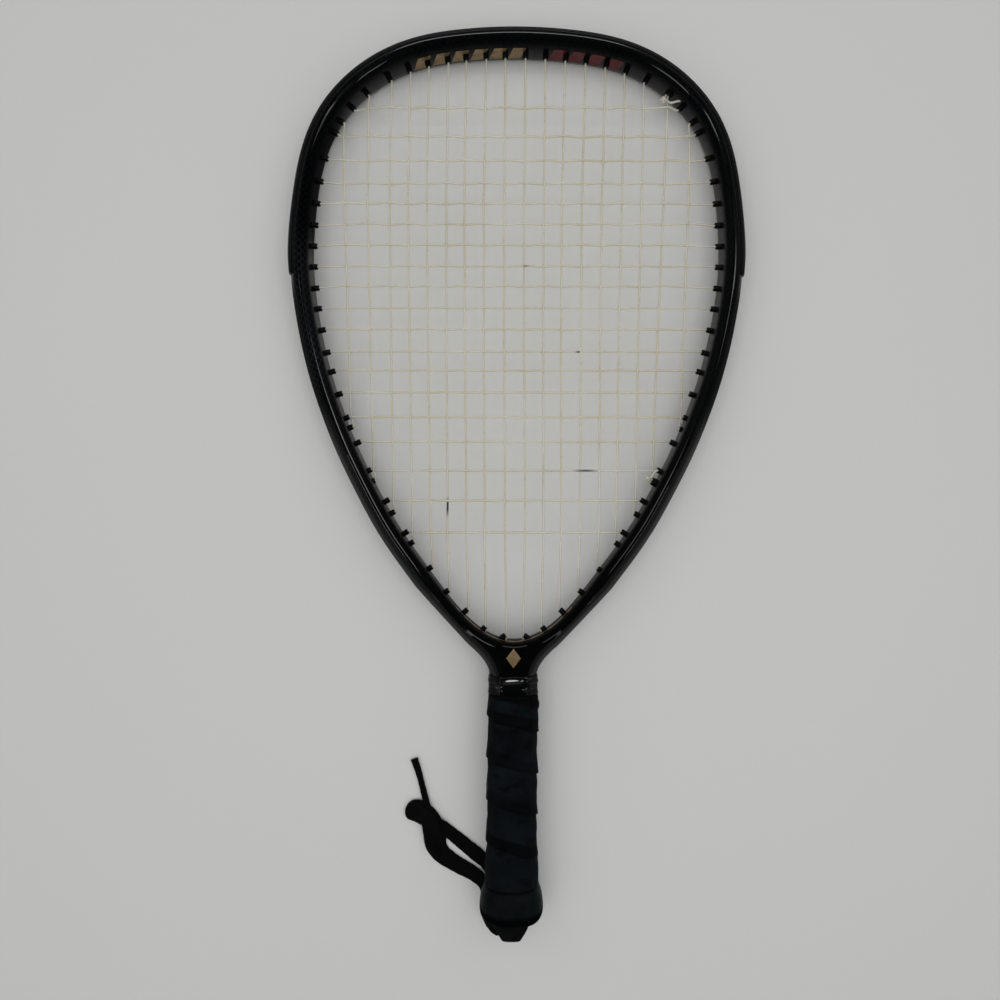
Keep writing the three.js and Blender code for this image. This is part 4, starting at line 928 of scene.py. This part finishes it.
sets = {"grommets_head": [], "grommets_left": [], "grommets_right": []}
for h in holes.values():
    key = "grommets_head" if BUMPER_ENDS[0] < h["at"] < BUMPER_ENDS[1] else ("grommets_left" if h["at"] < 0 else "grommets_right")
    sets[key].append(h)
for key, hs in sets.items():
    b = Batch()
    for h in hs:
        b.add(*barrel(h, max(3.6, h["length"] - 4.2)))
    if key != "grommets_head":
        lo, hi = (-STRIP_END, BUMPER_ENDS[0] - 0.4) if key == "grommets_left" else (BUMPER_ENDS[1] + 0.4, STRIP_END)
        b.add(*edge_sweep(STRIP_SEC, np.concatenate([np.arange(lo, hi, 0.8), [hi]])))
    sets[key] = b.make(key, BARREL, slot="guard_nylon", sharp=50)
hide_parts("bumper_guard")
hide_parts("bumper_guard")
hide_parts("grommet_strip_left")
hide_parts("grommet_strip_right")

# -------------------------------------------------------------------- strings
STRING_R = 0.66
LANE, STRING_V, TRANSIT_V = 1.15, -1.35, -0.2
MAIN_WAVE, CROSS_WAVE = 0.34, 1.0


def leave(h, lane, shift=0.0, rise=0.0):
    """From the mouth of a hole outwards into the groove, on the given lane."""
    side = np.array([-h["d"][1], h["d"][0]])
    at = lambda s, z: (*(h["mouth"] + h["d"] * s + side * shift), z)
    return [at(-0.6, rise), at(1.2, rise * 0.5), at(h["length"] - 2.6, 0), at(h["length"] + STRING_V - 0.25, lane * 0.8), at(h["length"] + STRING_V, lane)]


def run(a, b, lane, v=STRING_V):
    gap = b["at"] - a["at"]
    n = max(3, int(abs(gap) / 2))
    at = np.linspace(a["at"] + gap * 0.14, b["at"] - gap * 0.14, n)
    q, nn = outer(at)
    q = q + nn * v
    return [(*p, lane) for p in q]


def near_frame_grey_of(p):
    """Strings are greyer close to the frame."""
    a = np.arctan2(p[:, 0], p[:, 1] - 110)
    w = hoop(a)[0]
    gap = np.linalg.norm(w - (0, 110), axis=1) - np.linalg.norm(p[:, :2] - (0, 110), axis=1)
    return np.clip(1 - (gap - 3) / 14, 0, 1) * 0.55


def scuff_of(p, spots):
    m = np.zeros(len(p))
    for x, y, rx, ry in spots:
        m = np.maximum(m, np.clip(1.4 - np.hypot((p[:, 0] - x) / rx, (p[:, 1] - y) / ry) * 1.4, 0, 1))
    return m


def px(x, y, z=0.0):
    """Racket x, y under a place in the picture."""
    u, v = (x - 500) * (CAM_H - z) / 751, (500 - y) * (CAM_H - z) / 751
    c, s = math.cos(LEAN), math.sin(LEAN)
    return np.array([-CAM_OFF * c + u * c - v * s, -CAM_OFF * s + u * s + v * c])


def string_piece(b, p, spots):
    p = resample(p, 1.15)
    rings = tube(p, STRING_R, 12)
    pts, faces = skin(rings)
    b.add(pts, faces, grime=np.repeat(near_frame_grey_of(p), 12), scuff=np.repeat(scuff_of(p, spots), 12))


SPOTS_CROSS = [(*px(584, 469.7), 9, 0.9), (*px(578, 350.7), 2.6, 0.9), (*px(525, 265), 2.2, 0.9)]
SPOTS_MAIN = [(*px(447, 506), 0.9, 7)]


def crossings(j):
    out = []
    for i, line in enumerate(LINES):
        t, b = line[0], line[-1]
        y = CROSS_Y[j - 1]
        for _ in range(3):
            x = float(main_x(i, y))
            y = cross_at(j - 1, x)
        if y > t[1] - 1.2 or y < b[1] + 1.2:
            continue
        out.append((x, y, (1 if (i + j) % 2 else -1), i))
    return out


def main_points(i):
    """Main i from its top to its bottom, waving a little over and under the crosses."""
    t, b = LINES[i][0], LINES[i][-1]
    pts = []
    for j, y in enumerate(CROSS_Y, 1):
        for _ in range(3):
            x = float(main_x(i, y))
            y = cross_at(j - 1, x)
        if y > t[1] - 1.2 or y < b[1] + 1.2:
            continue
        pts.append((x + 0.12 * math.sin(i * 3.1 + j * 1.7), y, -(1 if (i + j) % 2 else -1) * MAIN_WAVE))
    return pts


def cross_points(j):
    """Cross j, left to right, over and under the mains, its straight stretches between them."""
    pts = []
    for x, y, s, i in crossings(j):
        pts.append((x - 1.1, y + 0.06 * math.sin(i * 2.3 + j), s * CROSS_WAVE * 0.93))
        pts.append((x, y + 0.06 * math.sin(i * 2.3 + j), s * CROSS_WAVE))
        pts.append((x + 1.1, y + 0.06 * math.sin(i * 2.3 + j), s * CROSS_WAVE * 0.93))
    return pts


def soft(points, sub=5):
    return catmull(np.array(points, float), sub)


mains = Batch()
m17b, m17t = holes["M17B"], holes["M17T"]


def knot_at(h, shift, s):
    side = np.array([-h["d"][1], h["d"][0]])
    return h["mouth"] - h["d"] * s + side * shift


path = [(*knot_at(m17b, -TIE, 1.2), 0)] + leave(m17b, LANE, -TIE) + run(m17b, holes["M18B"], LANE)
for i in range(18, 0, -1):
    upward = i % 2 == 0
    a, b = holes[f"M{i}{'B' if upward else 'T'}"], holes[f"M{i}{'T' if upward else 'B'}"]
    sa, sb = (TIE if a["tie"] else 0), (TIE if b["tie"] else 0)
    if a is m17t:
        sa = -sa
    if b is m17t:
        sb = -sb
    body = main_points(i - 1)
    if upward:
        body = body[::-1]
    path += leave(a, LANE, sa)[::-1] + body + leave(b, LANE, sb)
    if i > 1:
        path += run(b, holes[f"M{i - 1}{'T' if upward else 'B'}"], LANE)
string_piece(mains, soft(path), SPOTS_MAIN)

crosses = Batch()
m1b = holes["M1B"]
out = leave(m1b, 0.0)
q, nn = outer([m1b["at"]])
path = [out[2], (*(q[0] + nn[0] * TRANSIT_V), 0)]
for a in np.arange(m1b["at"] - 5, holes["C19L"]["at"] + 3, -4):
    q, nn = outer([a])
    path.append((*(q[0] + nn[0] * TRANSIT_V), 0))
for j in range(19, 0, -1):
    rightward = j % 2 == 1
    a, b = holes[f"C{j}{'L' if rightward else 'R'}"], holes[f"C{j}{'R' if rightward else 'L'}"]
    body = cross_points(j)
    if not rightward:
        body = body[::-1]
    first = leave(a, -LANE, 0, 0.25 * np.sign(body[0][2]))[::-1]
    path += first + body + leave(b, -LANE, 0, 0.25 * np.sign(body[-1][2]))
    if j > 1:
        path += run(b, holes[f"C{j - 1}{'R' if rightward else 'L'}"], -LANE)
path += run(holes["C1R"], m17t, -LANE) + leave(m17t, -LANE, TIE)[::-1] + [(*knot_at(m17t, TIE, 1.2), 0)]
string_piece(crosses, soft(path), SPOTS_CROSS)


def tie_knot(b, centre, along, size, tail):
    """Two half hitches round the anchor string, drawn tight, with a clipped tail."""
    c = np.array([*centre, 0.0])
    ax = np.array([*along, 0.0])
    ax /= np.linalg.norm(ax)
    sd = np.array([-ax[1], ax[0], 0])
    up = np.array((0, 0, 1.0))
    t = np.linspace(0, 2 * np.pi * 2.6, 90)
    rad = size * (1 + 0.06 * np.sin(t * 1.7))
    line = c + np.outer(np.linspace(-1.25, 1.25, 90) + 0.28 * np.sin(t * 1.5), ax) + np.outer(rad * np.cos(t), sd) + np.outer(rad * np.sin(t), up)
    # the bridge that crosses the turns
    s = np.linspace(0, 1, 26)
    bridge = c + np.outer(1.7 - 3.4 * s, ax) + np.outer(0.5 * np.sin(s * np.pi * 2), sd) + np.outer((size + 1.0) * np.sin(np.pi * s) ** 0.6, up)
    end = np.array([line[-1], line[-1] + ax * 0.6 + up * 0.4, *[np.array(q, float) for q in tail]])
    for l, r in ((line, STRING_R), (bridge, STRING_R * 0.97), (catmull(end, 6), STRING_R)):
        l = resample(l, 0.5)
        pts, faces = skin(tube(l, r, 12))
        # the knots are given a little of the same greying
        b.add(pts, faces, grime=np.full(len(pts), 0.12), scuff=np.zeros(len(pts)))


kt, kb = knot_at(m17t, 0.2, 3.4), knot_at(m17b, 0.0, 3.0)
tie_knot(crosses, kt, m17t["d"], 1.45, [(*px(670, 102.5, 2), 2.2), (*px(676, 101.2, 2), 2.3), (*px(681, 100.2, 2), 1.9)])
tie_knot(mains, kb, m17b["d"], 1.4, [(*px(654, 472, 2), 1.6), (*px(657.5, 469.6, 2), 1.4)])
main_o = mains.make("string_mains", STRING, slot="string", sharp=0)
cross_o = crosses.make("string_crosses", STRING, slot="string", sharp=0)
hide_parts("main_string")
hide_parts("cross_string")

# --------------------------------------------------------------------- handle
def wave(n, seed):
    """Smooth periodic noise of unit size round a turn and along a length, as a function."""
    g = np.random.default_rng(seed)
    terms = [(g.integers(1, n), g.uniform(0.05, 0.6), g.uniform(0, 6.28), g.normal()) for _ in range(18)]

    def f(a, y):
        return sum(c * np.sin(k * a + w * y * 1.2 + p) / (1 + 0.15 * k) for k, w, p, c in terms) / 4
    return f


GRIP_FROM, GRIP_TO, PITCH = -117.9, -232.4, 25.4
GRIP_N = 128
ys = np.concatenate([[GRIP_FROM + 0.02, GRIP_FROM - 0.25], np.arange(GRIP_FROM - 0.7, GRIP_TO + 0.5, -0.7), [GRIP_TO + 0.25, GRIP_TO]])
lump, crease = wave(6, 3), wave(9, 11)
rows, painted_shade_rows = [], []
for i, y in enumerate(ys):
    ring, a = round_oct(15.05, 13.1, 5.0, y, GRIP_N, 2.6)
    end = min(1.0, (0.25 + min(GRIP_FROM - y, y - GRIP_TO + 1.0)) / 1.1)
    s = np.mod(-(y - GRIP_FROM) / PITCH + a / (2 * np.pi) + 0.56 + 0.012 * np.sin(3 * a + y * 0.2), 1.0)
    # each turn laps over the one below it; its lower edge stands up and is tucked under
    d = np.mod(s - 0.5 + 0.5, 1.0) - 0.5  # -0.5 .. 0.5, the edge at 0, going towards the butt
    lap = np.where(d <= 0, np.exp(d * PITCH / 5.0) * 1.05, -0.30 * np.exp(-d * PITCH / 1.6))
    lap = np.where((d > -0.02) & (d <= 0), 0.95 * (1 - ((d + 0.02) / 0.02) ** 3 * 0.25), lap)
    tail_on = float(np.clip((-209 - y) / 17, 0, 1))
    tail_on = tail_on * tail_on * (3 - 2 * tail_on)
    grow = lap * (1 - 0.75 * tail_on) + 0.34 * lump(a, y * 0.35) + 0.14 * crease(a, y * 1.1) + 1.35 * tail_on
    # the first turn is folded double on the right of the front
    grow = grow + 0.8 * np.exp(-((y + 124.3) / 2.5) ** 4) * np.clip(np.cos(a - 0.2) * 1.6, 0, 1)
    grow = grow * end - 0.5 * (1 - end)
    l = np.hypot(ring[:, 0], ring[:, 2])
    ring = ring.copy()
    ring[:, 0] *= 1 + grow / l
    ring[:, 2] *= 1 + grow / l
    rows.append(ring)
    dist = d * PITCH
    # painted shade in the lap of each turn, weaker in the middle of the grip and on the tail, and a dark band right
    # under the tape's edge
    lap_shade = np.clip(np.minimum((dist + 7.2 + 0.5 * np.sin(a * 2 + y * 0.3)) / 1.0, (1.6 - dist) / 0.8), 0, 1) * 0.85 * (1 - 0.8 * tail_on)
    lap_shade = lap_shade * (1 - 0.42 * np.clip((-148 - y) / 6, 0, 1) * np.clip((y + 196) / 6, 0, 1))
    painted_shade_rows.append(np.maximum(lap_shade, np.clip((y + 122.6 + 3.4 * np.cos(a)) / 1.3, 0, 1) * 1.0))
pts, faces = skin(np.array(rows))
grip = make("grip_wrap_band", pts, faces, GRIP, slot="grip", sharp=0, attrs={"seam": np.concatenate(painted_shade_rows)})
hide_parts("grip_wrap")

TAPE_N = 112
ys = np.concatenate([[-106.2, -106.45], np.arange(-106.8, -117.5, -0.22), [-117.62, -117.8]])
wr, wr2 = wave(7, 21), wave(14, 5)
rows, taut = [], []
for y in ys:
    k = (-106.2 - y) / 11.5
    w = np.interp(k, [0, 0.04, 0.2, 0.45, 0.7, 1], [14.3, 14.75, 14.85, 15.0, 15.05, 15.1])
    h = np.interp(k, [0, 0.04, 0.2, 0.45, 0.7, 1], [11.6, 12.1, 12.2, 12.3, 12.35, 12.4])
    ring, a = round_oct(w, h, 5.8, y, TAPE_N, 1.6)
    fold = 0.9 * math.exp(-((k - 0.30) / 0.085) ** 2) + 0.55 * math.exp(-((k - 0.92) / 0.07) ** 2) - 0.30 * np.exp(-((y + 113.9 + 0.5 * np.sin(2 * a)) / 0.55) ** 2) + 0.10 * wr(a, y * 1.2) + 0.05 * wr2(a, y * 3)
    lip = 0.2 * math.exp(-((k - 0.06) / 0.06) ** 2)
    x, face_up = ring[:, 0], ring[:, 2] > 6
    # a taut fold across the front, with a flat slope towards the head, and two puckers by the corners
    down = (-107.55 + 0.10 * x) - y
    over = np.exp(-((x + 0.4) / 6.2) ** 4) * face_up
    ramp = 0.655 * np.clip(down, 0, 1.45) * np.exp(-(np.maximum(down - 1.55, 0) / 1.2) ** 2) * over
    pucker = sum(c * np.exp(-(((x - px_) / 1.3) ** 2 + ((y - py_) / 1.0) ** 2)) for px_, py_, c in ((-8.4, -112.6, 0.8), (-8.0, -115.0, 0.6), (7.0, -114.2, 0.75), (8.2, -107.3, 0.5))) * face_up
    edge_in = min(1.0, (k + 0.012) / 0.03, (1.012 - k) / 0.03)
    l = np.hypot(ring[:, 0], ring[:, 2])
    g = (fold * 0.55 * (1 - over) + lip + ramp + pucker) * edge_in
    taut.append(np.clip((ramp + pucker) * 3, 0, 1))
    ring = ring.copy()
    ring[:, 0] *= 1 + g / l
    ring[:, 2] *= 1 + g / l
    # the top edge of the tape isn't straight
    ring[:, 1] += 0.35 * np.sin(a * 2 + 0.7) * max(0, 1 - k * 6) + 0.2 * np.sin(5 * a) * max(0, 1 - k * 6)
    rows.append(ring)
pts, faces = skin(np.array(rows))
tape = make("finishing_tape_band", pts, faces, TAPE, slot="tape", sharp=0, attrs={"taut": np.concatenate(taut)})
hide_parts("finishing_tape")

CAP = [(-231.6, 16.0, 13.9), (-233, 16.15, 14.1), (-237, 17.2, 14.9), (-241.5, 18.7, 16.4), (-245.5, 19.4, 17.3), (-249, 19.6, 17.5), (-252, 19.1, 17.0),
       (-254.4, 17.9, 15.8), (-256.3, 16.0, 13.9), (-257.4, 13.9, 11.8), (-257.7, 12.6, 10.5)]
cs = catmull(np.array(CAP), 10)
rows, cap_painted_shade = [], []
n = 96
a = (np.arange(n) + 0.5) / n * 2 * np.pi
soft_wave = wave(4, 40)
for y, w, h in cs:
    e = 2 / 2.7
    g = 0.10 * soft_wave(a, y * 0.3) * (1 if y > -253 else 0.3)
    # the last turn of the wrap runs out over the flare, lowest in the middle of the front
    edge_y = -232.6 - 2.3 * np.maximum(0, np.sin(a - 0.12)) ** 1.5
    g = g + 0.5 * np.clip((y - edge_y) / 0.6, 0, 1) * np.clip(np.sin(a) * 3, 0, 1)
    # painted shade on the lower part of the flare, and a painted shadow line just below the wrap's edge
    under = np.clip((-243.4 - 4.2 * np.maximum(0, np.sin(a)) - y) / 3.4, 0, 1)
    cap_painted_shade.append(np.maximum(np.exp(-((y - edge_y + 0.7) / 0.9) ** 2) * np.clip(np.sin(a) * 3, 0, 1) * 0.6, under * 0.78))
    x, z = np.sign(np.cos(a)) * np.abs(np.cos(a)) ** e * (w + g), np.sign(np.sin(a)) * np.abs(np.sin(a)) ** e * (h + g)
    rows.append(np.stack([x, np.full(n, y), z], 1))
# the flare's lower face turns in towards the plug, and the upper rim is rolled over the grip
first = rows[0].copy(); first[:, [0, 2]] *= 0.965; first[:, 1] = -231.45
rows = [first] + rows
pts, faces = skin(np.array(rows))
cap = make("butt_cap_flare", pts, faces, CAP_M, slot="cap_rubber", sharp=40, attrs={"seam": np.concatenate([cap_painted_shade[0] * 0] + cap_painted_shade)})
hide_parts("butt_cap")


def rounded_bar(w, h, c, y0, y1, mat, name, r=1.0, edge=0.4):
    rows = []
    for y, k in ((y0, 1 - edge / w), (y0 - edge * 0.6, 1), (y1 + edge * 0.6, 1), (y1, 1 - edge / w)):
        rows.append(round_oct(w * k, h * k, c, y, 40, r)[0])
    return skin(np.array(rows))


plug = Batch()
plug.add(*rounded_bar(10.9, 6.5, 2.3, -256.0, -258.4, None, ""))
LUG = [(10.5, -257.9), (10.5, -259.4), (9.6, -262.2), (6.7, -267.2), (5.6, -268.6), (4.4, -269.2), (2.0, -269.45), (0, -269.45)]
half = catmull(np.array(LUG), 5)
outline = np.concatenate([half, half[::-1][1:] * (-1, 1)])
cen = np.array([0, -264.0])
for side in (1, -1):
    rows = []
    for z, k in ((3.9, 0.97), (4.05, 0.995), (5.6, 1.0), (6.0, 0.985), (6.2, 0.95)):
        o = cen + (outline - cen) * k
        rows.append(np.stack([o[:, 0], o[:, 1], np.full(len(o), z * side)], 1))
    plug.add(*skin(np.array(rows)))
pa = np.arange(20) / 20 * 2 * np.pi
plug.add(*skin(np.array([np.stack([1.6 * np.cos(pa), -265.2 + 1.6 * np.sin(pa), np.full(20, z)], 1) for z in (-4.4, 4.4)])))
plug_o = plug.make("lanyard_plug_fork", PLUG, slot="plug_nylon", sharp=45)
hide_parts("lanyard_plug")

# Nodes kept as they are: pallets under the grip, and their staples.
for node, mat in (("pallet_front", FOAM), ("pallet_back", FOAM), *((f"pallet_staple_{a}_{b}", STEEL) for a in ("front", "back") for b in ("upper", "lower"))):
    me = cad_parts[node].data
    me.materials.clear()
    me.materials.append(mat)


# ------------------------------------------------------------- plain markings
def wall_patch(b, deg0, deg1, z0, z1, slant=0.0, n=14, m=7):
    """Thin patch on the hoop's inner wall, between two hoop angles and two heights."""
    rows = []
    for i in range(n + 1):
        f = i / n
        ring = []
        for lift, ks in ((0.05, range(m + 1)), (-0.25, range(m, -1, -1))):
            for k in ks:
                g = k / m
                z = z0 + (z1 - z0) * g
                t = math.radians(deg0 + (deg1 - deg0) * f + slant * (g - 0.5))
                u = np.interp(abs(z), [0, 9.2, 9.8, 10.25, 10.75, 11.12, 11.3], [0, 0, 0.12, 0.4, 1.0, 1.9, 3.0])
                p, nn = hoop(t)
                q = p[0] + nn[0] * (u - lift * (1.0 if abs(z) < 9.4 else 0.8))
                ring.append((*q, z + (lift if z > 9.4 else 0)))
        rows.append(ring)
    b.add(*skin(np.array(rows)))


gold, red = Batch(), Batch()
for k in range(6):
    c = -21.6 + k * 4.0
    wall_patch(gold, c, c + 2.7, -5.6, 5.0, slant=1.2)
for k in range(4):
    c = 7.0 + k * 4.0
    wall_patch(red, c, c + 2.8, -5.6, 5.0, slant=1.2)
wall_patch(gold, 168.5, 191.5, 2.4, 4.6, n=24, m=3)
gold_o = gold.make("marking_gold_bars", GOLD, slot="graphite", sharp=50)
red_o = red.make("marking_red_bars", RED, slot="graphite", sharp=50)

# A plain gold lozenge on the front of the throat.
loz = np.array([[0, -89.3], [4.4, -95.2], [0, -101.1], [-4.4, -95.2]])
rows = []
c = loz.mean(0)
for z, k in ((11.30, 1.0), (11.44, 1.0), (11.47, 0.97)):
    o = c + (loz - c) * k
    o = np.concatenate([np.linspace(o[i], o[(i + 1) % 4], 7)[:-1] for i in range(4)])
    rows.append(np.stack([o[:, 0], o[:, 1], np.full(len(o), z)], 1))
mark = make("marking_gold_lozenge", *skin(np.array(rows)), GOLD, slot="graphite", sharp=40)

# ------------------------------------------------------- floor, light and world
def floor_material():
    m = Mat("floor", Metallic=0.0, Roughness=0.7, IOR=1.4)
    c = m.coords()
    m.link(m.mix(m.noise(c, 3, 2), (0.79, 0.79, 0.78), (0.81, 0.81, 0.80)), "Base Color")
    return m.m


fm = bpy.data.meshes.new("floor")
fm.from_pydata([(-4, -4, 0), (4, -4, 0), (4, 4, 0), (-4, 4, 0)], [], [(0, 1, 2, 3)])
floor = bpy.data.objects.new("floor", fm)
bpy.context.scene.collection.objects.link(floor)
fm.materials.append(floor_material())
floor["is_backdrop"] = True


def lamp(name, at, to, size, power, size_y=None, mirrored=False):
    """A flat lamp that either lights things or only shows in the lacquer."""
    d = bpy.data.lights.new(name, "AREA")
    d.shape, d.size, d.size_y, d.energy = "RECTANGLE", size, size_y or size, power
    o = bpy.data.objects.new(name, d)
    o.location = at
    o.rotation_euler = (Vector(to) - Vector(at)).to_track_quat("-Z", "Y").to_euler()
    bpy.context.scene.collection.objects.link(o)
    o.visible_glossy = mirrored
    o.visible_diffuse = not mirrored
    o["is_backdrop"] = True
    return o


lamp("softbox", (0.0, 0.0, 1.35), (0, 0, 0), 1.7, 11.0, 1.7)
lamp("upper_left_light", (-0.72, 0.66, 0.85), (0, 0.0, 0), 0.75, 0.9, 0.4)
lamp("upper_right_light", (0.72, 0.66, 0.85), (0, 0.0, 0), 0.75, 0.9, 0.4)
lamp("lower_left_light", (-0.72, -0.62, 0.85), (0, -0.02, 0), 0.75, 0.8, 0.4)
lamp("lower_right_light", (0.72, -0.62, 0.85), (0, -0.02, 0), 0.75, 0.8, 0.4)
lamp("head_glint", (0.0, 1.0, 0.8), (0, 0.05, 0), 0.55, 3.0, 0.2, True)
lamp("glint_low_left", (-0.40, -0.10, 1.0), (0, 0.1, 0), 0.27, 0.95, 0.14, True)
lamp("glint_low_right", (0.38, -0.10, 1.0), (0, 0.1, 0), 0.18, 0.45, 0.12, True)
lamp("glint_up_left", (-0.32, 0.33, 0.95), (0, 0, 0), 0.12, 0.2, 0.12, True)
lamp("glint_up_right", (0.32, 0.35, 0.95), (0, 0, 0), 0.20, 0.7, 0.14, True)
bpy.context.scene.view_settings.view_transform = "Standard"

world = bpy.data.worlds.new("studio")
bpy.context.scene.world = world
world.use_nodes = True
wt = world.node_tree
bg = wt.nodes["Background"]
geo = wt.nodes.new("ShaderNodeTexCoord")
sep = wt.nodes.new("ShaderNodeSeparateXYZ")
wt.links.new(geo.outputs["Generated"], sep.inputs[0])
ramp = wt.nodes.new("ShaderNodeValToRGB")
wt.links.new(sep.outputs["Z"], ramp.inputs["Fac"])
e = ramp.color_ramp.elements
e[0].position, e[0].color = 0.0, (0.25, 0.25, 0.25, 1)
e[1].position, e[1].color = 0.9, (0.004, 0.004, 0.004, 1)
mid = e.new(0.55)
mid.color = (0.23, 0.23, 0.23, 1)
wt.links.new(ramp.outputs["Color"], bg.inputs["Color"])
bg.inputs["Strength"].default_value = 1.0

# ------------------------------------------------------------------------ end
low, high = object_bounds()
